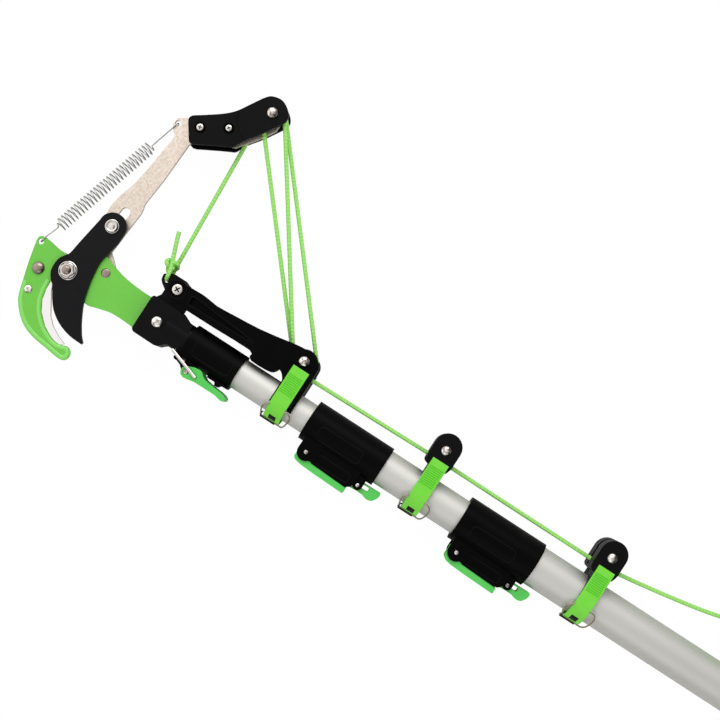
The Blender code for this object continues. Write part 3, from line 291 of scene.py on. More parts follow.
fall = Vector(BRACKET_SHEAVES) - Vector(ARM_SHEAVES)
OPEN_SIDE = math.degrees(math.atan2(fall.y, fall.x)) + 90
CROSS_SIDE = OPEN_SIDE - math.degrees(math.asin(2 * SHEAVE_TRACK / fall.length))
KNOT_TOP = (0.2, 55.5, -7.9)

tail_end = round_sheave(ARM_SHEAVES, 180, 180, ARM_REAR_Z)[0]
tail = rope("rope_tail", straight(KNOT_TOP, tail_end, 16), None, "rope_tail_lower", "rope_tail_upper")
at(*KNOT_TOP)
at(*tail_end)
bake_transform(tail)
rear_wrap = round_sheave(ARM_SHEAVES, 180 + WRAP_GAP, OPEN_SIDE - WRAP_GAP, ARM_REAR_Z)
front_wrap = round_sheave(ARM_SHEAVES, OPEN_SIDE + 180 - WRAP_GAP, CROSS_SIDE + WRAP_GAP, ARM_FRONT_Z)
rope("rope_round_rear_sheave", rear_wrap, "arm", "rope_wrap_rear")
rope("rope_round_front_sheave", front_wrap, "arm", "rope_wrap_front")

fall_top = round_sheave(ARM_SHEAVES, OPEN_SIDE, OPEN_SIDE, ARM_REAR_Z)[0]
fall_back = round_sheave(ARM_SHEAVES, OPEN_SIDE - 180, OPEN_SIDE - 180, ARM_FRONT_Z)[0]
loop_wrap = round_sheave(BRACKET_SHEAVES, OPEN_SIDE, OPEN_SIDE - 180, -BRACKET_Z)
loop_run = straight(fall_top, loop_wrap[0], 16)[:-1] + loop_wrap + straight(loop_wrap[-1], fall_back, 16)[1:]
loop = rope("rope_fall_and_return", loop_run, None, "rope_loop")
cross_top = round_sheave(ARM_SHEAVES, CROSS_SIDE, CROSS_SIDE, ARM_FRONT_Z)[0]
cross_low = round_sheave(BRACKET_SHEAVES, CROSS_SIDE - 180, CROSS_SIDE - 180, BRACKET_Z)[0]
cross = rope("rope_crossing", straight(cross_top, cross_low, 16), None, "rope_cross")
fall_low = Vector((*BRACKET_SHEAVES, 0)).lerp(Vector((*ARM_SHEAVES, 0)), FALL_START)
for strand in (loop, cross):
    at(*fall_low)
    at(*ARM_SHEAVES)
    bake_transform(strand)

under_2 = (GUIDE_2[0], GUIDE_2[1] - SHEAVE_TRACK, 0)
under_3 = (GUIDE_3[0], GUIDE_3[1] - SHEAVE_TRACK, 0)
bracket_wrap = round_sheave(BRACKET_SHEAVES, CROSS_SIDE - 180 + WRAP_GAP, -90, BRACKET_Z)
route_1 = [*bracket_wrap, (155.0, 31.4, BRACKET_Z), *straight((165.0, 31.5, 4.0), under_2, 10)]
run_1 = rope("rope_to_guide_2", smooth_run(route_1, 2), None, "rope_run_1")
at(165, 31.5)
at(*under_2)
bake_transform(run_1)
run_2 = rope("rope_to_guide_3", straight((under_2[0] + GAP, under_2[1], 0), under_3, 14), None, "rope_run_2")
at(*under_2)
at(*under_3)
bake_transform(run_2)

# The knot: the same rope, tied by hand. It goes through the eye in the socket's ear and back, and is tied
# round itself, with a short end standing up.

KNOT_CENTRE = Vector((-2.2, 50.0, 0.4))
KNOT_LOOP = 1.95
KNOT_POINTS = 96
EYE_REAR = (1.4, 42.0, -8.4)
KNOT_ROUTE = [
    (-12.7, 80.1, 4.0), (-10.0, 72.0, 4.0), (-7.0, 64.0, 3.6), (-4.4, 57.0, 3.2), (-1.6, 50.2, 4.2),
    (0.4, 46.0, 7.4), (1.3, 42.0, 8.4), (1.7, 38.9, 7.6), (1.8, 37.3, 5.6), (1.8, 37.2, 0.0),
    (1.8, 37.3, -5.6), (1.7, 38.9, -7.6), EYE_REAR, (0.9, 46.5, -8.2), (0.6, 50.5, -8.1), KNOT_TOP]
knot_loop = []
for step in range(KNOT_POINTS):
    t = 2 * math.pi * step / KNOT_POINTS
    knot_loop.append(KNOT_CENTRE + KNOT_LOOP * Vector((
        math.sin(t) + 2 * math.sin(2 * t), math.cos(t) - 2 * math.cos(2 * t), -2.2 * math.sin(3 * t))))
knot = tube_along("rope_knot_turns", knot_loop, ROPE, ROPE_SIDES, BRAID_PITCH)
dress(knot, "head", "green_rope", green_rope)
knot_line = rope("rope_knot_line", smooth_run(KNOT_ROUTE, 5), None, "rope_knot")
at(*EYE_REAR[:2])
at(*KNOT_TOP)
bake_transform(knot_line)

# The rope's free end: it runs down from the last guide to the floor. What is left over lies there beside
# the pole, wound by hand into a round coil of four layers, and its last stretch leads to the pull handle.

FLOOR = -25.0
COIL_CENTRE = (660.0, 108.0)
COIL_RADIUS = 38.5
COIL_TURNS = 18
COIL_LAYERS = 4
COIL_PITCH = 2 * ROPE + 0.5
COIL_POINTS = 32
LAYER_CLIMB = 0.25
HANDLE_RADIUS = 8.0
HANDLE_LENGTH = 92.0
HANDLE_START = (724.0, 64.0, FLOOR + HANDLE_RADIUS)
coil_low = FLOOR + ROPE
free_route = [
    (486.0, 34.0, 0.0), (492.0, 34.6, 0.0), (510.0, 36.8, -0.4), (535.0, 40.6, -2.2), (560.0, 44.8, -5.4),
    (585.0, 49.4, -9.8), (607.0, 54.4, -14.6), (625.0, 60.0, -18.6), (640.0, 65.8, -21.6),
    (649.0, 68.8, -22.9)]
turns_each = COIL_TURNS / COIL_LAYERS
coil_route = []
for step in range(COIL_TURNS * COIL_POINTS + 1):
    turned = step / COIL_POINTS
    angle = math.radians(-90) + 2 * math.pi * turned
    swing = abs(turned % (2 * turns_each) - turns_each)
    radius = COIL_RADIUS - COIL_PITCH * (turns_each - swing)
    layer = round(turned / turns_each)
    level = math.floor(turned / turns_each)
    past = turned - layer * turns_each
    if 0 < layer < COIL_LAYERS and abs(past) < LAYER_CLIMB:
        level = layer - 0.5 + past / (2 * LAYER_CLIMB)
    height = coil_low + COIL_PITCH * min(level, COIL_LAYERS - 1)
    coil_route.append((*on_circle(COIL_CENTRE, radius, angle), height))
last = Vector(coil_route[-1])
mouth = Vector(HANDLE_START)
coil_tail = smooth_run([last, last + Vector((14, -0.3, 0.2)), last + Vector((34, -3, -3.2)),
                        mouth - Vector((8, 0, 0)), mouth + Vector((16, 0, 0))], 4)
way_down = smooth_run([*free_route, coil_route[0]], 3)
whole_route = way_down + [Vector(p) for p in coil_route[1:]] + coil_tail[1:]
free_rope = rope("rope_free_end", whole_route, "pole_base", "rope_free", "rope_coil")
free_length = sum((b - a).length for a, b in zip(whole_route, whole_route[1:])) * MM

# The pull handle: a waisted toggle of black glass-filled nylon, with a groove at each end, moulded over the
# rope's end. All the black mouldings have its fine spark-eroded grain.

black_plastic, shader, places = material("black_plastic", (0.0028, 0.0026, 0.0027), 0.0, 0.42, gloss=0.08)
grain = places.noise(2600.0, 3.0)
feed(shader, Roughness=grain * 0.16 + places.noise(40.0, 2.0) * 0.1 + 0.3,
     Base_Color=places.noise(60.0, 3.0).between((0.002, 0.0018, 0.0019), (0.0038, 0.0035, 0.0036)),
     height=(grain, 0.00004))


def chosen(piece):
    """Makes a piece the only selected one."""
    bpy.ops.object.select_all(action="DESELECT")
    bpy.context.view_layer.objects.active = piece
    piece.select_set(True)


def spun(name, profile, centre, along_x=False, steps=48):
    """A round piece: its profile, as (radius, height), is spun about an axis along Z or X."""
    corners = []
    for radius, height in profile:
        x, y, z = (height, radius, 0) if along_x else (radius, 0, height)
        corners.append(at(centre[0] + x, centre[1] + y, centre[2] + z))
    mesh = bpy.data.meshes.new(name)
    mesh.from_pydata(corners, [(i, i + 1) for i in range(len(corners) - 1)], [])
    piece = new_piece(name, mesh)
    chosen(piece)
    bpy.ops.object.mode_set(mode="EDIT")
    bpy.ops.mesh.select_all(action="SELECT")
    axis = (1, 0, 0) if along_x else (0, 0, 1)
    bpy.ops.mesh.spin(steps=steps, angle=2 * math.pi, center=at(*centre), axis=axis)
    bpy.ops.mesh.select_all(action="SELECT")
    bpy.ops.mesh.remove_doubles(threshold=0.000005)
    bpy.ops.mesh.normals_make_consistent(inside=False)
    bpy.ops.object.mode_set(mode="OBJECT")
    bpy.ops.object.shade_smooth_by_angle(angle=math.radians(32))
    return piece


handle = spun("pull_toggle", [
    (0, HANDLE_LENGTH), (4.5, HANDLE_LENGTH), (6.6, 91.0), (8.0, 88.6), (8.0, 84.0), (7.2, 82.5),
    (7.2, 81.0), (8.0, 79.5), (7.4, 72.0), (6.7, 62.0), (6.4, 46.0), (6.7, 30.0), (7.4, 20.0), (8.0, 12.5),
    (7.2, 11.0), (7.2, 9.5), (8.0, 8.0), (8.0, 3.4), (6.6, 1.0), (4.5, 0), (0, 0)], HANDLE_START, True)
dress(handle, "pole_base", "black_plastic", black_plastic, "pull_handle")
at(*free_route[0])
[at(*p) for p in whole_route]

# The pole: three drawn aluminium tubes, satin anodised, each sliding in the next. The thinnest one is
# pushed on the head's socket, and the widest one ends in the foot grip.

TUBE_WALL = 1.5
TUBES = (("tube_1", "head", 15.0, 50.0, 1680.0), ("tube_2", "pole_middle", 17.25, 186.3, 1700.3),
         ("tube_3", "pole_base", 19.5, 352.8, 1767.7))

aluminium, shader, places = material("aluminium", (0.64, 0.635, 0.60), 1.0, 0.6)
drawn = places.noise(420.0, 3.0, (0.012, 1, 1))
feed(shader, Roughness=drawn * 0.12 + 0.54, Base_Color=(drawn * 0.6 + places.noise(14.0) * 0.4).between(
    (0.60, 0.59, 0.555), (0.68, 0.675, 0.64)), height=(drawn, 0.00002))
for name, body, outer, start, end in TUBES:
    inner = outer - TUBE_WALL
    wall = [
        (inner, start + 0.3), (inner + 0.3, start), (outer - 0.4, start), (outer, start + 0.4),
        (outer, end - 0.4), (outer - 0.4, end), (inner + 0.3, end), (inner, end - 0.3),
        (inner, start + 0.3)]
    pipe = spun(name + "_drawn", wall, (0, 0, 0), True, 96)
    dress(pipe, body, "aluminium", aluminium, name)

# The foot grip: soft black rubber, moulded with grooves for the hand and pushed over the pole's butt. Its
# closed end stands on the ground.

GRIP_START = 1620.0
GRIP_OUTER = 25.0
GRIP_BORE = 19.8
BORE_END = 1768.0
GROOVES = 12
GROOVE_PITCH = 10
GROOVE_DEPTH = 1.3
black_rubber, shader, places = material("black_rubber", (0.010, 0.010, 0.010), 0.0, 0.75, gloss=0.25)
feed(shader, Roughness=places.noise(900.0, 4.0) * 0.2 + 0.62, height=(places.noise(1800.0, 4.0), 0.00015))
grip_profile = [(GRIP_BORE, BORE_END), (GRIP_BORE, GRIP_START), (21.8, GRIP_START),
                (24.0, GRIP_START + 1.2), (GRIP_OUTER, GRIP_START + 4)]
for groove in range(GROOVES):
    place = GRIP_START + 18 + groove * GROOVE_PITCH
    bottom = GRIP_OUTER - GROOVE_DEPTH
    grip_profile += [(GRIP_OUTER, place), (bottom, place + 1.4)]
    grip_profile += [(bottom, place + 3.2), (GRIP_OUTER, place + 4.6)]
grip_profile += [(GRIP_OUTER, POLE_REACH - 4), (24.2, POLE_REACH - 1.2), (22.0, POLE_REACH),
                 (0, POLE_REACH), (0, BORE_END), (GRIP_BORE, BORE_END)]
grip = spun("foot_grip_rubber", grip_profile, (0, 0, 0), True, 72)
dress(grip, "pole_base", "black_rubber", black_rubber, "foot_grip")

# The socket, the rope's bracket and the two guides: black nylon, each injection moulded in one piece and
# held by rivets, screws and straps. Each is its solid with its faces joined up again and its edges rounded
# as the mould leaves them.


def softened(piece, edge, segments, angle=35):
    """Joins up a piece's flat faces and rounds its edges."""
    chosen(piece)
    bpy.ops.object.mode_set(mode="EDIT")
    bpy.ops.mesh.select_all(action="SELECT")
    bpy.ops.mesh.remove_doubles(threshold=0.000002)
    bpy.ops.mesh.dissolve_limited(angle_limit=math.radians(0.8))
    bpy.ops.object.mode_set(mode="OBJECT")
    bevel = piece.modifiers.new("edges", "BEVEL")
    bevel.width = edge * MM
    bevel.segments = segments
    bevel.limit_method = "ANGLE"
    bevel.angle_limit = math.radians(angle)
    bpy.ops.object.modifier_apply(modifier="edges")
    bpy.ops.object.shade_smooth_by_angle(angle=math.radians(38))
    even = piece.modifiers.new("even", "WEIGHTED_NORMAL")
    even.keep_sharp = True
    bpy.ops.object.modifier_apply(modifier="even")
    return piece


def rounded(node, name, edge, segments=3):
    """A finer copy of a CAD solid, with rounded edges."""
    piece = new_piece(name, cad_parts[node].data.copy())
    chosen(piece)
    bpy.ops.mesh.customdata_custom_splitnormals_clear()
    return softened(piece, edge, segments)


def joined(name, pieces):
    """One object of several."""
    chosen(pieces[0])
    for piece in pieces:
        piece.select_set(True)
    bpy.ops.object.join()
    pieces[0].name = name
    return pieces[0]


deep_black, shader, places = material("deep_black", (0.0012, 0.0011, 0.0012), 0.0, 0.4, gloss=0.04)
feed(shader, Roughness=places.noise(2600.0, 3.0) * 0.14 + 0.3, Base_Color=places.noise(60.0, 3.0).between(
    (0.0008, 0.0007, 0.0008), (0.0018, 0.0016, 0.0017)), height=(places.noise(2600.0, 3.0), 0.00003))
for node, edge, look in (("rope_bracket", 1.0, deep_black), ("head_socket", 1.2, black_plastic)):
    dress(rounded(node, node + "_moulding", edge), "head", "black_plastic", look, node)
for number, body in ((2, "pole_middle"), (3, "pole_base")):
    block = rounded(f"guide_{number}_block", f"guide_{number}_moulding", 1.0)
    dress(block, body, "black_plastic", black_plastic, f"guide_{number}_block")

# The clamps' bodies: collars of black nylon, moulded, round the ends of the tubes, with cheeks below that
# carry the levers and latches. A panel with a soft raised border marks the front of each, and the jaws of
# the two lever clamps. The bracket's pocket has such a bead along its edge. Each border and bead is dressed
# in a lighter black than the moulding it lies on: a painted highlight along it.

RIDGE = 0.55
CHEEK_FACE = 13.0
CLAMPS = ((2, 183.5, 17.25, "pole_middle"), (3, 350.0, 19.5, "pole_base"))


def panel_border(name, left, right, high, low, radius, corner=4.0):
    """The border of a rounded panel, a thin bead half sunk in a cylinder along X, or in the flat cheek."""
    flat = []
    for spot, start in (((right - corner, high - corner), 0), ((left + corner, high - corner), 90),
                        ((left + corner, low + corner), 180), ((right - corner, low + corner), 270)):
        for step in range(7):
            flat.append(on_circle(spot, corner, math.radians(start + 15 * step)))
    line = []
    for i, (x, y) in enumerate(flat):
        after = flat[(i + 1) % len(flat)]
        for step in range(4):
            across = y + (after[1] - y) * step / 4
            height = math.sqrt(radius * radius - across * across) if radius else CHEEK_FACE
            line.append((x + (after[0] - x) * step / 4, across, height - 0.25))
    return tube_along(name, [*line, line[0]], RIDGE, 8)


for number, start, outer, body in CLAMPS:
    skin = outer + 2.8
    shell = rounded(f"clamp_{number}_body", f"clamp_{number}_moulding", 0.8)
    front = panel_border("border", start + 14, start + 60, 2.0, -11.0, skin)
    jaw_line = panel_border("jaw_border_painted_highlight", start + 25.5, start + 61, -outer - 4.5, -outer - 13.6, 0, 3.0)
    dress(shell, body, "black_plastic", deep_black, f"clamp_{number}_body")
    # The border beads take the lighter black over the darker shell: a painted highlight.
    dress(joined(f"clamp_{number}_borders_painted_highlight", [front, jaw_line]), body, "black_plastic", black_plastic)
shell = rounded("clamp_1_collar", "collar_1_moulding", 0.8)
front = panel_border("border", 60.0, 99.0, 8.0, -9.0, 17.7)
dress(shell, "head", "black_plastic", deep_black, "clamp_1_collar")
# The collar's border bead in the lighter black over the darker shell: a painted highlight.
dress(front, "head", "black_plastic", black_plastic)
POCKET_FACE = 13.75
pocket = [(33.0, 28.5), (33.0, 36.9), (60.0, 35.2), (105.0, 31.2), (60.0, 29.2)]
edge_line = smooth_run([(x, y, POCKET_FACE) for x, y in (*pocket, pocket[0])], 6)
# The pocket's bead in the lighter black over the darker bracket: a painted highlight.
dress(tube_along("bracket_pocket_edge_painted_highlight", edge_line, 0.5, 8), "head", "black_plastic", black_plastic)

# The covers at the arm's end: two shells of black nylon, moulded, with a spacer behind each, held by two
# screws and the sheaves' pin. The front one has a step across it and a raised ring round each screw.

COVER_FACE = 8.65
COVER_BACK = -16.25
COVER_SCREWS = ((-47.9, 171.3), (-25.2, 185.1))


def ring(name, centre, radius, height, thick):
    """A round bead on a flat face."""
    turns = [math.radians(10 * i) for i in range(37)]
    return tube_along(name, [(*on_circle(centre, radius, t), height - 0.15) for t in turns], thick, 8)


COVER_OUTLINE = [
    (-56.4, 164.3), (-60.2, 169.9), (-61.3, 172.6), (-60.9, 175.2), (-58.4, 178.0), (-50.4, 183.6),
    (-36.7, 193.9), (-27.8, 202.9), (-20.1, 215.3), (-12.3, 227.7), (-6.8, 232.2), (1.7, 233.7),
    (8.8, 230.8), (14.1, 225.9), (15.7, 220.8), (13.7, 215.1), (3.0, 197.6), (-6.5, 184.6), (-10.4, 177.4),
    (-13.0, 172.6), (-17.6, 170.0), (-26.6, 165.3), (-43.0, 156.2), (-46.4, 154.6), (-48.8, 154.5),
    (-50.6, 156.1)]
SPACER_OUTLINE = [
    (-60.4, 173.6), (-50.4, 181.8), (-36.7, 192.0), (-27.8, 201.0), (-20.5, 212.0), (-16.0, 212.0),
    (-16.0, 170.5), (-26.6, 165.8), (-46.5, 154.9), (-49.2, 156.2)]
# A dark bead along the gap under the covers' lower edge: painted shade.
COVER_GAP_PAINTED_SHADE = [(-50.2, 156.2, -3.8), (-46.6, 154.7, -3.8), (-26.6, 165.5, -3.8), (-15.0, 171.6, -3.8)]
COVER_STEP = [(-26.4, 203.0), (-24.2, 197.0), (-20.0, 191.0), (-14.5, 187.0), (-8.5, 184.5)]
COVERS = (("front", 5.65, COVER_FACE, -1.5, 5.75), ("rear", COVER_BACK, -13.25, -13.35, -6.1))


def flat_run(points, steps=4):
    """A smooth outline through flat points."""
    return [(p.x, p.y) for p in smooth_run([(x, y, 0) for x, y in points], steps)]


def disc(centre, radius, steps=40):
    """The outline of a round hole or edge."""
    return [on_circle(centre, radius, 2 * math.pi * i / steps) for i in range(steps)]


def sheet(name, lines, back, front, edge, segments=2):
    """A flat piece: an outline and its holes, filled between two heights, with rounded edges."""
    curve = bpy.data.curves.new(name, "CURVE")
    curve.dimensions = "2D"
    curve.fill_mode = "BOTH"
    curve.extrude = (front - back) / 2 * MM
    for line in lines:
        spline = curve.splines.new("POLY")
        spline.points.add(len(line) - 1)
        for point, spot in zip(spline.points, line):
            point.co = (*at(*spot), 1)
        spline.use_cyclic_u = True
    chosen(new_piece(name, curve))
    bpy.ops.object.convert(target="MESH")
    piece = bpy.context.object
    piece.data.transform(Matrix.Translation((0, 0, (front + back) / 2 * MM)))
    return softened(piece, edge, segments, 50)


# A matte black: the spacers' own, and painted shade for the dark bead under the covers, the dark ring round
# each cover screw, the dark cross in each screw's recess and the dark rings at the nuts.
matte_black_and_painted_shade, shader, places = material("matte_black_and_painted_shade", (0.003, 0.003, 0.003), 0.0, 0.8, gloss=0.0)
feed(shader, Roughness=places.noise(900.0) * 0.1 + 0.75)
spacers_and_painted_shade = [tube_along("cover_gap_painted_shade", COVER_GAP_PAINTED_SHADE, 2.2, 12)]
screw_holes = [disc(screw, 2.5) for screw in COVER_SCREWS]
cover_edge = flat_run([*COVER_OUTLINE, COVER_OUTLINE[0]])[:-1]
for side, inner, outer, face, seat in COVERS:
    cover = sheet("cover", [cover_edge, disc(ARM_SHEAVES, 3.3), *screw_holes], inner, outer, 0.9, 3)
    spacers_and_painted_shade.append(sheet("spacer", [SPACER_OUTLINE, *screw_holes], face, seat, 0.4))
    pieces = [cover]
    if side == "front":
        pieces.append(tube_along("step", smooth_run([(x, y, COVER_FACE) for x, y in COVER_STEP], 5), 0.5, 8))
        pieces += [ring(f"ring_{i}", spot, 5.4, COVER_FACE, 0.45) for i, spot in enumerate(COVER_SCREWS)]
    dress(joined(f"pulley_cover_{side}_moulding", pieces), "arm", "black_plastic", black_plastic,
          f"pulley_cover_{side}")
# A flat dark ring round each cover screw, standing for its shaded recess: painted shade.
painted_well_shades = [sheet("well", [disc(spot, 5.2), disc(spot, 2.6)], 8.5, 8.72, 0.04) for spot in COVER_SCREWS]
dress(joined("cover_spacers_and_painted_shade", [*painted_well_shades, *spacers_and_painted_shade]), "arm", "black_plastic", matte_black_and_painted_shade)

# The clamps' levers and latches: green nylon, moulded in one piece each. They turn on the pins of the
# clamps' bodies, and have the moulded grain of the black pieces.

green_plastic, shader, places = material("green_plastic", (0.10, 0.68, 0.11), 0.0, 0.38, gloss=0.35)
feed(shader, Base_Color=places.noise(90.0, 3.0).between((0.085, 0.60, 0.09), (0.125, 0.72, 0.13)),
     Roughness=places.noise(1400.0, 3.0) * 0.15 + 0.3, height=(places.noise(1800.0, 3.0), 0.00004))
for node in ("clamp_1_lever", "clamp_2_lever", "clamp_3_lever", "clamp_2_latch", "clamp_3_latch"):
    dress(rounded(node, node + "_moulding", 0.8), node, "green_plastic", green_plastic, node)

# The straps: a band of lime plastic round each tube, ribbed across for the thumb, with a black buckle slot
# below. The ribs are a darker lime than the band: painted shade. The link that pulls it tight and the bar
# behind it are bent from wire.

STRAP_THICK = 1.6
STRAPS = ((1, "head", 144.8, 17.0, 18.5, 35.6), (2, "pole_middle", 298.05, 16.9, 20.25, 34.4),
          (3, "pole_base", 478.55, 16.9, 22.5, 34.4))
STRAP_RIBS = 10
LINK_LEFT = ((0.6, 110), (-1.6, 115), (-3.4, 122), (-3.8, 134), (-2.6, 152), (-2.4, 176))
LINK_RIGHT = ((-0.6, 108), (2.6, 108), (5.4, 111), (7.0, 121), (6.4, 138), (5.0, 156), (3.2, 176))
LINK_WIRE = 0.75
# A darker lime for the ribs than for the band: painted shade.
lime_painted_shade, shader, places = material("lime_painted_shade", (0.10, 0.62, 0.02), 0.0, 0.55, gloss=0.2)
feed(shader, Roughness=places.noise(2200.0, 3.0) * 0.2 + 0.45)
lime_strap, shader, places = material("lime_strap", (0.20, 0.79, 0.055), 0.0, 0.5, gloss=0.3)
feed(shader, Base_Color=places.noise(120.0, 4.0).between((0.18, 0.72, 0.045), (0.23, 0.83, 0.065)),
     Roughness=places.noise(2200.0, 3.0) * 0.2 + 0.4, height=(places.noise(3000.0, 3.0), 0.00003))
link_wire, shader, places = material("link_wire", (0.34, 0.27, 0.21), 1.0, 0.28)
feed(shader, Roughness=places.noise(900.0, 3.0) * 0.12 + 0.2)


def bent_band(name, left, right, run, thick):
    """A flat strip between two places along the pole. Its run is (y, z) with the way that faces outward."""
    corners = []
    for y, z, out_y, out_z in run:
        for x, depth in ((left, 0), (right, 0), (right, thick), (left, thick)):
            corners.append(at(x, y - out_y * depth, z - out_z * depth))
    faces = [(3, 2, 1, 0), tuple(range(len(corners) - 4, len(corners)))]
    for i in range(len(run) - 1):
        for a in range(4):
            b = (a + 1) % 4
            faces.append((4 * i + a, 4 * i + b, 4 * i + 4 + b, 4 * i + 4 + a))
    mesh = bpy.data.meshes.new(name)
    mesh.from_pydata(corners, [], faces)
    band = new_piece(name, mesh)
    chosen(band)
    bpy.ops.object.mode_set(mode="EDIT")
    bpy.ops.mesh.select_all(action="SELECT")
    bpy.ops.mesh.normals_make_consistent(inside=False)
    bpy.ops.object.mode_set(mode="OBJECT")
    return band


def round_tube(radius, first, last, steps):
    """Stations of a bent band on a circle round the pole, between two angles from the rope's side."""
    turns = [math.radians(first + (last - first) * i / steps) for i in range(steps + 1)]
    return [(radius * math.cos(t), radius * math.sin(t), math.cos(t), math.sin(t)) for t in turns]


for number, body, left, width, reach, top in STRAPS:
    right = left + width
    skin = reach + GAP + STRAP_THICK
    run = [(top - 0.8, skin - 0.7, 0, 1), (top - 1.6, skin, 0, 1), (28.0, skin, 0, 1), (14.0, skin, 0, 1)]
    run += round_tube(skin, 90, 270, 40) + [(14.0, -skin, 0, -1), (28.0, -skin, 0, -1), (top, -skin, 0, -1)]
    band = [softened(bent_band(f"strap_{number}_band", left, right, run, STRAP_THICK), 0.3, 2, 50)]
    bead = skin - 0.1
    for x in (left + 0.9, right - 0.9):
        band.append(tube_along("tab_edge", [(x, 6.5, bead), (x, top - 2.4, bead)], 0.4, 6))
    dress(joined(f"strap_{number}_band", band), body, "green_plastic", lime_strap, f"strap_{number}")
    ribs = []
    for rib in range(STRAP_RIBS):
        height = 8.0 + rib * 2.0
        ribs.append(tube_along("rib", [(left + 1.6, height, bead), (right - 1.6, height, bead)], 0.5, 8))
    dress(joined(f"strap_{number}_ribs", ribs), body, "green_plastic", lime_painted_shade)
    slot = round_tube(skin + 0.12, 139, 161, 6)
    buckle = bent_band(f"strap_{number}_buckle", left + 5.2, left + 12.6, slot, 0.4)
    dress(buckle, body, "black_plastic", black_plastic)
    over = skin + 0.5
    link = []
    for edge, shape in ((left, LINK_LEFT), (right, LINK_RIGHT)):
        spots = [(edge + shift, *on_circle((0, 0), over, math.radians(angle))) for shift, angle in shape]
        link.append(tube_along("link", smooth_run(spots, 5), LINK_WIRE, 8))
    link.append(tube_along("link_back", [(left - 2.4, -over, 1.2), (right + 3.2, -over, 1.2)], LINK_WIRE, 8))
    dress(joined(f"strap_{number}_link", link), body, "zinc", link_wire)
    bar_run = [(left - 0.9, -over * 0.80, over * 0.62), (left - 1.9, -over * 0.86, over * 0.5),
               (left - 1.5, -over - 0.6, 4.0), (left - 0.4, -over - 0.9, 3.4),
               (left + 13.6, -over - 0.9, 3.4)]
    dress(tube_along("bar", smooth_run(bar_run, 4), 0.7, 8), body, "black_steel", black_plastic)

# The hook plate: 3 mm steel sheet, cut, punched for its rivets and painted green. Its tang goes into the
# socket. A raised rim follows the hook's outer and inner edges on both faces, in a lighter green than the
# plate: a painted highlight along the rims.

green_paint, shader, places = material("green_paint", (0.14, 0.61, 0.03), 0.0, 0.30, 0.6, gloss=0.45)
feed(shader, Base_Color=places.noise(50.0, 4.0).between((0.125, 0.57, 0.024), (0.16, 0.65, 0.04)),
     Roughness=places.noise(700.0, 3.0) * 0.12 + 0.2, height=(places.noise(1500.0, 2.0), 0.00003))
PLATE_HALF = 1.5
SPRING_EYE = (-116.1, 2.9)
BLADE_PIVOT = (-79.1, -6.1)
ARM_PIVOT = (-49.6, 10.8)
SAW_BOLT = (-104.5, -19.1)
SAW_PIN = (-101.9, -40.7)
SOCKET_RIVET = (17.5, -0.9)
RIM_STRETCH = slice(14, 33)
HOOK_LINE = [
    (-0.4, 15.3), (-15.8, 15.4), (-32.8, 17.2), (-45.6, 20.5), (-58.9, 24.6), (-66.0, 23.0), (-75.0, 12.0),
    (-92.5, 6.0), (-109.0, 8.0), (-115.5, 8.4), (-119.3, 6.6), (-120.2, 2.9), (-119.2, -2.5),
    (-115.7, -18.6), (-110.9, -35.7), (-106.6, -49.8), (-102.6, -56.8), (-94.8, -65.5), (-85.3, -72.0),
    (-73.2, -75.9), (-58.1, -77.8), (-44.4, -79.5), (-38.6, -78.4), (-36.1, -74.1), (-37.5, -68.6),
    (-42.7, -65.9), (-49.2, -68.0), (-57.3, -67.7), (-69.6, -61.8), (-80.3, -51.8), (-85.9, -41.7),
    (-88.1, -31.5), (-88.4, -23.1), (-85.0, -14.5), (-73.0, -14.5), (-51.1, -23.3), (-39.7, -21.2),
    (-26.0, -17.7), (-12.5, -17.3), (-0.4, -18.0)]


def beside(points, distance):
    """A run of points moved sideways, to the right of its direction."""
    moved = []
    for i, point in enumerate(points):
        along = Vector(points[min(i + 1, len(points) - 1)]) - Vector(points[max(i - 1, 0)])
        along.normalize()
        moved.append((point[0] + along.y * distance, point[1] - along.x * distance))
    return moved


hook_outline = [*flat_run(HOOK_LINE), (0.4, -12.5), (40.0, -12.5), (40.0, 12.5), (0.4, 12.5)]
punched = [disc(SPRING_EYE, 2.8), disc(BLADE_PIVOT, 4.3), disc(ARM_PIVOT, 4.5), disc(SAW_BOLT, 3.3),
           disc(SAW_PIN, 2.5), disc(SOCKET_RIVET, 3.3)]
hook = sheet("hook_plate_painted", [hook_outline, *punched], -PLATE_HALF, PLATE_HALF, 0.45)
rim_run = beside(flat_run(HOOK_LINE[RIM_STRETCH]), -2.5)
flatter = Matrix.Diagonal((1, 1, 0.5, 1))
rims = []
for face in (1, -1):
    rim = tube_along("rim", [(x, y, 0) for x, y in rim_run], 2.0, 16)
    rim.data.transform(Matrix.Translation((0, 0, face * (PLATE_HALF - 0.25) * MM)) @ flatter)
    rims.append(rim)
dress(hook, "head", "green_paint", green_paint, "hook_plate")
# A lighter green on the rims than on the plate: a painted highlight.
rim_painted_highlight, shader, places = material("rim_painted_highlight", (0.23, 0.77, 0.10), 0.0, 0.25, 0.8, gloss=0.5)
feed(shader, Roughness=places.noise(700.0, 3.0) * 0.1 + 0.18)
dress(joined("hook_plate_rims_painted_highlight", rims), "head", "green_paint", rim_painted_highlight)

# The bright pieces: the arm is stamped from bare steel, and the counter blade and the saw are ground and
# chromed. The arm turns on its rivet in the plate. The clamp's bail is bent from zinc plated wire.

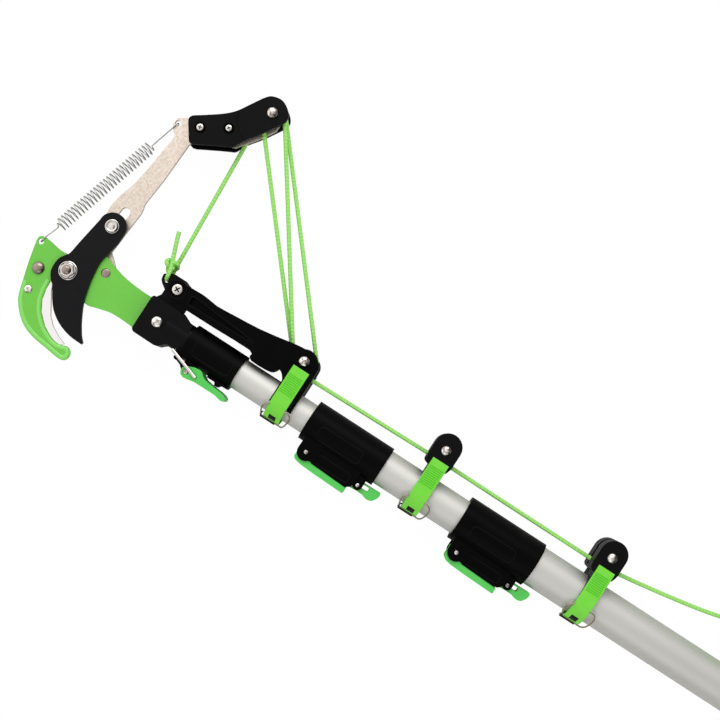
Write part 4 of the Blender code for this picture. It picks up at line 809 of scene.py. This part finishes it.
bright_steel, shader, places = material("bright_steel", (0.66, 0.57, 0.49), 1.0, 0.42)
brushed = places.noise(900.0, 4.0, (1, 0.05, 1))
feed(shader, Roughness=brushed * 0.2 + 0.34, Base_Color=places.noise(420.0, 5.0).within(0.3, 0.7).between(
    (0.58, 0.49, 0.415), (0.77, 0.68, 0.595)), height=(brushed, 0.00002))
for node, base in (("counter_blade", (0.83, 0.80, 0.78)), ("saw_blade", (0.99, 0.985, 0.98))):
    chrome, shader, places = material(node + "_chrome", base, 1.0, 0.3)
    feed(shader, Roughness=places.noise(900.0, 4.0, (0.05, 1, 1)) * 0.12 + 0.26)
    dress(rounded(node, node + "_ground", 0.2, 2), "head", "bright_steel", chrome, node)
dress(rounded("lever_arm", "lever_arm_stamped", 0.5, 2), "arm", "bright_steel", bright_steel, "lever_arm")
zinc, shader, places = material("zinc", (0.56, 0.52, 0.47), 1.0, 0.24)
feed(shader, Roughness=places.noise(700.0, 4.0) * 0.14 + 0.12, Base_Color=places.noise(300.0, 2.0).between(
    (0.50, 0.45, 0.41), (0.84, 0.81, 0.78)))
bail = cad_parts["clamp_1_bail"]
bail.data.materials.clear()
bail.data.materials.append(zinc)

# The cutting blade: steel with a black coating, cut in one piece with its lever. It turns on the blade's bolt
# in front of the plate, and the link bolt joins it to the arm.

black_steel, shader, places = material("black_steel", (0.004, 0.004, 0.005), 0.0, 0.36, gloss=0.12)
feed(shader, Base_Color=places.noise(120.0, 4.0).between((0.003, 0.003, 0.004), (0.006, 0.006, 0.007)),
     Roughness=places.noise(500.0, 4.0) * 0.18 + 0.26, height=(places.noise(1600.0, 3.0), 0.00003))
BLADE_LINE = [
    (-80.1, 49.4), (-81.9, 38.0), (-84.6, 22.0), (-86.5, 9.1), (-88.6, 5.4), (-92.9, -2.4), (-92.8, -14.0),
    (-88.3, -21.6), (-84.3, -25.4), (-77.0, -36.5), (-69.3, -45.2), (-58.6, -52.0), (-45.3, -56.1),
    (-31.6, -56.8)]
BLADE_BACK_LINE = [(-31.5, -54.6), (-36.5, -49.3), (-43.7, -38.1), (-50.4, -24.6), (-53.7, -14.0),
                   (-56.9, 0.8), (-58.3, 15.9), (-56.9, 25.1), (-53.8, 39.9)]
LINK_BOLT = (-66.9, 50.4)
BOSS = 13.2
boss = [on_circle(LINK_BOLT, BOSS, math.radians(t)) for t in range(-5, 175, 6)]
blade_outline = [*flat_run(BLADE_LINE), *flat_run(BLADE_BACK_LINE), *boss]
bored = [disc(BLADE_PIVOT, 4.3), disc(LINK_BOLT, 3.05)]
blade = sheet("cutting_blade_coated", [blade_outline, *bored], 1.8, 5.3, 0.5)
dress(blade, "blade", "black_steel", black_steel, "cutting_blade")

# The sheaves: six grooved wheels of black nylon, turned to one pattern, each free on its pin. Two run side
# by side in the arm's covers, two in the bracket and one in each guide.

SHEAVES = [
    ("arm_sheave_front", ARM_SHEAVES, ARM_FRONT_Z), ("arm_sheave_rear", ARM_SHEAVES, ARM_REAR_Z),
    ("bracket_sheave_front", BRACKET_SHEAVES, BRACKET_Z),
    ("bracket_sheave_rear", BRACKET_SHEAVES, -BRACKET_Z),
    ("guide_2_sheave", GUIDE_2, 0.0), ("guide_3_sheave", GUIDE_3, 0.0)]
for node, centre, height in SHEAVES:
    wheel = spun(node + "_wheel", [
        (3.3, 3.25), (5.2, 3.25), (5.5, 2.8), (9.6, 2.8), (10.0, 3.25), (11.7, 3.25), (12.2, 2.85),
        (12.1, 2.5), (9.6, 2.2), (8.5, 1.3), (8.25, 0), (8.5, -1.3), (9.6, -2.2), (12.1, -2.5),
        (12.2, -2.85), (11.7, -3.25), (10.0, -3.25), (9.6, -2.8), (5.5, -2.8), (5.2, -3.25), (3.3, -3.25),
        (3.3, 3.25)], (*centre, height))
    dress(wheel, node, "black_plastic", black_plastic, node)

# The rivets: steel pins with domed heads in front, upset flat behind what they hold, and bright zinc
# plated. The saw's bolt and the arm's rivet are browned.

polished, shader, places = material("polished_zinc", (0.56, 0.52, 0.47), 1.0, 0.2)
feed(shader, Roughness=places.noise(700.0, 4.0) * 0.14 + 0.12, Base_Color=places.noise(300.0, 2.0).within(
    0.38, 0.62).between((0.24, 0.18, 0.15), (0.90, 0.88, 0.85)))
browned, shader, places = material("browned_steel", (0.30, 0.24, 0.20), 1.0, 0.26)
feed(shader, Roughness=places.noise(700.0, 4.0) * 0.16 + 0.16, Base_Color=places.noise(500.0, 3.0).between(
    (0.22, 0.17, 0.14), (0.38, 0.31, 0.26)))


def domed(name, centre, shank, back, front, head, height, tail, tail_height, body, node, look=polished):
    """A rivet along Z: a shank, a domed head on its front and a flat upset tail."""
    profile = [(0, front + height)]
    for step in range(1, 9):
        angle = math.radians(step * 10)
        profile.append((head * math.sin(angle), front + height * (math.cos(angle) * 0.88 + 0.12)))
    profile += [(head, front + 0.25), (head - 0.2, front), (shank, front), (shank, back),
                (tail - 0.3, back), (tail, back - 0.3), (tail, back - 0.65 * tail_height),
                (tail * 0.7, back - tail_height), (0, back - tail_height)]
    return dress(spun(name, profile, (*centre, 0)), body, "zinc", look, *([node] if node else []))


domed("saw_rivet", SAW_BOLT, 3.0, -3.6, 1.8, 5.8, 3.6, 5.5, 4.0, "head", "saw_bolt", browned)
domed("saw_pin_head", SAW_PIN, 2.2, -3.2, 1.5, 3.75, 1.3, 2.2, 0.4, "head", None)
domed("arm_pivot_rivet", ARM_PIVOT, 3.0, -6.1, 0.8, 4.2, 0.8, 6.5, 2.5, "head", "arm_rivet", browned)
domed("socket_dome", SOCKET_RIVET, 3.0, -13.3, 13.3, 5.4, 2.8, 5.5, 2.8, "head", "socket_rivet")
domed("bracket_pin_dome", BRACKET_SHEAVES, 3.0, -14.3, 14.3, 5.3, 3.6, 5.0, 2.5, "head", "bracket_sheave_pin")
domed("guide_2_dome", GUIDE_2, 3.0, -20.55, 20.55, 4.8, 3.0, 4.8, 2.0, "pole_middle", "guide_2_pin")
domed("guide_3_dome", GUIDE_3, 3.0, -22.8, 22.8, 4.8, 3.0, 4.8, 2.0, "pole_base", "guide_3_pin")
domed("arm_sheave_dome", ARM_SHEAVES, 3.0, COVER_BACK - GAP, COVER_FACE + GAP, 5.3, 3.6, 5.0, 2.5, "arm",
      "arm_sheave_pin")
domed("clamp_1_pin_end", (64.1, -25.1), 2.2, 12.0, 12.5, 2.2, 0.5, 2.0, 0.3, "head", None)
LEVER_PIN = 14.0
LATCH_PIN = 70.3
PINS_BELOW = 9.4
for number, start, outer, body in CLAMPS:
    lever_pin = (start + LEVER_PIN, -outer - PINS_BELOW)
    latch_pin = (start + LATCH_PIN, -outer - PINS_BELOW)
    domed(f"clamp_{number}_pin_end", lever_pin, 1.8, 13.2, 14.0, 1.85, 0.4, 1.8, 0.3, body, None)
    domed(f"clamp_{number}_latch_pin_end", latch_pin, 1.8, 9.2, 9.5, 1.75, 0.4, 1.7, 0.3, body, None)

# The screws: zinc plated steel, with cross recesses cut into low heads, one at the socket's ear and two in
# the covers. A dark cross of its own lies on the floor of each recess: painted shade.

EAR_SCREW = (17.3, 34.3)
RECESS = 1.6


def cross_line(centre, reach, half, turn):
    """The outline of a cross."""
    arm = [Vector((reach, -half)), Vector((reach, half)), Vector((half, half))]
    spots = [Matrix.Rotation(math.radians(turn + 90 * k), 2) @ spot for k in range(4) for spot in arm]
    return [(centre[0] + spot.x, centre[1] + spot.y) for spot in spots]


def cross_screw(name, centre, shank, back, front, head, height, tail, tail_height, turn, body, node):
    """A screw along Z with a cross recess in its low head."""
    profile = [(0, front + height), (head * 0.72, front + height), (head * 0.94, front + height * 0.8),
               (head, front + height * 0.5), (head, front + 0.2), (head - 0.2, front), (shank, front),
               (shank, back), (tail, back), (tail, back - tail_height), (0, back - tail_height)]
    screw = spun(name, profile, (*centre, 0))
    for angle in (turn, turn + 90):
        bpy.ops.mesh.primitive_cube_add(size=1, location=at(*centre, front + height),
                                        rotation=(0, 0, math.radians(angle)))
        cutter = bpy.context.object
        cutter.scale = (head * 1.15 * MM, head * 0.27 * MM, min(height, RECESS) * MM)
        cut = screw.modifiers.new("cross", "BOOLEAN")
        cut.operation = "DIFFERENCE"
        cut.object = cutter
        chosen(screw)
        bpy.ops.object.modifier_apply(modifier="cross")
        bpy.data.objects.remove(cutter)
    bpy.ops.object.shade_smooth_by_angle(angle=math.radians(32))
    # A dark cross on the recess's floor: painted shade.
    cross_floor = front + height - 0.85
    recess = sheet(name + "_recess_painted_shade", [cross_line(centre, head * 0.56, head * 0.13, turn)], cross_floor,
                   cross_floor + 0.2, 0.02)
    dress(recess, body, "black_steel", matte_black_and_painted_shade)
    return dress(screw, body, "zinc", zinc, node)


cross_screw("ear_screw", EAR_SCREW, 2.5, -14.3, 14.3, 5.0, 2.2, 4.5, 3.0, 62, "head", "bracket_screw")
for place, spot, head, turn in (("inner", COVER_SCREWS[0], 3.3, 20), ("outer", COVER_SCREWS[1], 3.0, 55)):
    cross_screw(place + "_cover_screw", spot, 2.2, COVER_BACK - GAP, COVER_FACE + GAP, head, 1.6, 4.0, 2.0,
                turn, "arm", "cover_screw_" + place)
dress(ring("ear_screw_ring", EAR_SCREW, 8.6, 14.0, 0.6), "head", "black_plastic", black_plastic)

# The blade's bolt with its flanged nut, and the link bolt with its lock nut: turned from steel and plated,
# the blade's bolt browned. A thin dark ring of painted shadow lies where each nut meets what it is on.

NUT_REACH = 7.3
NUT_TURN = 8
blade_bolt = spun("blade_bolt_turned", [
    (0, 14.3), (2.6, 14.3), (3.3, 13.9), (3.9, 13.4), (3.5, 13.1), (4.0, 12.8), (3.5, 12.5), (4.0, 12.2),
    (4.0, -1.8), (6.4, -1.8), (6.6, -2.0), (6.6, -5.0), (6.0, -5.3), (0, -5.3)], (*BLADE_PIVOT, 0))
dress(blade_bolt, "head", "zinc", browned, "blade_bolt")
hexagon = [on_circle(BLADE_PIVOT, NUT_REACH, math.radians(60 * k + NUT_TURN)) for k in range(6)]
flange = spun("flange", [
    (4.2, 5.6), (8.6, 5.6), (8.85, 5.85), (8.7, 6.4), (7.4, 7.0), (4.2, 7.2), (4.2, 5.6)], (*BLADE_PIVOT, 0))
nut = sheet("nut", [hexagon, disc(BLADE_PIVOT, 4.15)], 6.9, 11.6, 0.45, 3)
dress(joined("flanged_nut", [nut, flange]), "head", "zinc", zinc, "blade_nut")
link_bolt = spun("link_bolt_turned", [
    (0, 10.0), (2.0, 9.9), (2.7, 9.4), (2.7, 7.6), (3.8, 7.6), (4.0, 9.2), (4.9, 9.5), (5.5, 9.0),
    (5.7, 7.2), (6.5, 7.0), (6.75, 6.6), (6.75, 5.8), (6.5, 5.6), (2.75, 5.6), (2.75, -6.1), (6.4, -6.1),
    (6.6, -6.3), (6.6, -8.0), (5.0, -8.6), (0, -8.6)], (*LINK_BOLT, 0))
dress(link_bolt, "blade", "zinc", zinc, "link_bolt")
# Dark rings where each nut meets what it is on: painted shadow.
nut_painted_shadows = [ring("nut_painted_shadow", BLADE_PIVOT, 5.9, 11.6, 0.22), ring("nut_painted_shadow", BLADE_PIVOT, 7.75, 7.05, 0.4)]
dress(joined("blade_nut_painted_shadows", nut_painted_shadows), "head", "black_steel", matte_black_and_painted_shade)
dress(ring("link_nut_painted_shadow", LINK_BOLT, 5.75, 7.2, 0.3), "blade", "black_steel", matte_black_and_painted_shade)

# The return spring: hard-drawn steel wire, wound on a thin mandrel, with a hook bent at each end. It hangs
# between the plate's eye and the arm's ear, and draws the arm back.

SPRING_EAR = (-69.7, 164.6)
SPRING_WIRE = 0.62
SPRING_MEAN = 5.85
SPRING_CURLS = 29
CURL_POINTS = 20
SPRING_Z = -0.9
COIL_FROM = 21.0
COIL_TO = 136.0
spring_run = Vector(SPRING_EAR) - Vector(SPRING_EYE)
spring_along = spring_run.normalized()
spring_across = Vector((-spring_along.y, spring_along.x))


def at_spring(distance, side, height):
    """A point by its distance along the spring from the plate's eye, beside its axis and above the plate."""
    spot = Vector(SPRING_EYE) + spring_along * distance + spring_across * side
    return Vector((spot.x, spot.y, height))


HOOK_SIDE = 2.4
ARM_FACE = -1.8
ARM_BACK = -5.8
lower_hook = smooth_run([
    at_spring(5.0, 0, -HOOK_SIDE), at_spring(2.0, 0, -HOOK_SIDE), at_spring(0.0, 0, -0.8),
    at_spring(0.0, 0, 0.8), at_spring(2.0, 0, HOOK_SIDE), at_spring(8.0, 0, HOOK_SIDE),
    at_spring(15.0, 0, 0.2), at_spring(COIL_FROM - 2, 0, SPRING_Z)], 4)
curls = []
steps_of_coil = SPRING_CURLS * CURL_POINTS
for step in range(steps_of_coil + 1):
    angle = 2 * math.pi * step / CURL_POINTS
    end_steps = min(step, steps_of_coil - step)
    radius = SPRING_MEAN * min(1.0, (end_steps + 0.5) / (0.5 * CURL_POINTS))
    distance = COIL_FROM + (COIL_TO - COIL_FROM) * step / steps_of_coil
    curls.append(at_spring(distance, radius * math.sin(angle), SPRING_Z + radius * math.cos(angle)))
ear_front = ARM_FACE + GAP + SPRING_WIRE
ear_back = ARM_BACK - GAP - SPRING_WIRE
reach = spring_run.length
upper_hook = smooth_run([
    at_spring(COIL_TO + 1.5, 0, SPRING_Z), at_spring(COIL_TO + 8.0, 0, SPRING_Z),
    at_spring(reach - 3.0, 0, ear_front), at_spring(reach - 0.6, 0, ear_front),
    at_spring(reach, 0, ear_front - 1.4), at_spring(reach, 0, ear_back + 1.4),
    at_spring(reach - 1.0, 0, ear_back), at_spring(reach - 4.5, 0, ear_back)], 4)
spring_steel, shader, places = material("spring_steel", (0.50, 0.49, 0.47), 1.0, 0.3)
feed(shader, Roughness=places.noise(900.0, 3.0) * 0.12 + 0.22)
spring = dress(tube_along("return_spring_wire", lower_hook + curls + upper_hook, SPRING_WIRE, 8), None,
               "bright_steel", spring_steel, "return_spring", "spring_hook")
at(*at_spring(COIL_FROM, 0, 0))
at(*at_spring(COIL_TO, 0, 0))
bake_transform(spring)

# The studio: a floor of white paper that keeps a faint shadow, a surround that the metal mirrors, brighter
# on one side, and two soft box lamps.

STUDIO_WHITE = 1.02
FLOOR_SHARE = 0.05
BRIGHT_SIDE = (-0.9, 0.14, 0.4)
bpy.ops.mesh.primitive_plane_add(size=14, location=(-1.0, 0, (FLOOR - 0.6) * MM))
floor = bpy.context.object
floor.name = "studio_floor"
paper, shader, places = material("studio_paper", (0.86, 0.86, 0.86), 0.0, 0.9)
rays = places.node("ShaderNodeLightPath", {}, {})
seen = rays.at_least(places.node("ShaderNodeLightPath", {}, {}, "Is Transmission Ray"))
glow = places.node("ShaderNodeEmission", {}, {"Color": (1, 1, 1, 1), "Strength": STUDIO_WHITE})
blend_in = places.node("ShaderNodeMixShader", {}, {0: seen * (1 - FLOOR_SHARE)})
paper.node_tree.links.new(shader.outputs[0], blend_in.socket.node.inputs[1])
paper.node_tree.links.new(glow.socket, blend_in.socket.node.inputs[2])
paper.node_tree.links.new(blend_in.socket, paper.node_tree.nodes["Material Output"].inputs["Surface"])
floor.data.materials.append(paper)

world = bpy.data.worlds.new("studio")
world.use_nodes = True
bpy.context.scene.world = world
sky = world.node_tree.nodes["Background"]
light_path = world.node_tree.nodes.new("ShaderNodeLightPath")
seen_sky = Value(world.node_tree, light_path.outputs["Is Camera Ray"])
mirrored_sky = Value(world.node_tree, light_path.outputs["Is Glossy Ray"])
compass = Value(world.node_tree, world.node_tree.nodes.new("ShaderNodeTexCoord").outputs["Generated"])
toward = compass.node("ShaderNodeVectorMath", {"operation": "DOT_PRODUCT"}, {0: compass, 1: BRIGHT_SIDE}, 1)
glow_of_sky = (seen_sky * 0.4 + mirrored_sky * (toward - 0.1) + 0.6).at_least(0.03)
world.node_tree.links.new(glow_of_sky.socket, sky.inputs["Strength"])
sky.inputs["Color"].default_value = (1, 1, 1, 1)


def lamp(name, place, target, size, power):
    """A soft box lamp."""
    bpy.ops.object.light_add(type="AREA", location=place)
    light = bpy.context.object
    light.name = name
    light.data.shape = "RECTANGLE"
    light.data.size, light.data.size_y = size
    light.data.energy = power
    light.rotation_euler = (Vector(target) - Vector(place)).to_track_quat("-Z", "Y").to_euler()


lamp("key", (-2.3, 2.0, 1.9), (-1.4, 0.0, 0.0), (2.4, 1.6), 30)
lamp("fill", (-0.6, -1.8, 1.7), (-1.3, 0.0, 0.0), (2.4, 1.6), 12)

bpy.context.scene.view_settings.view_transform = "Standard"
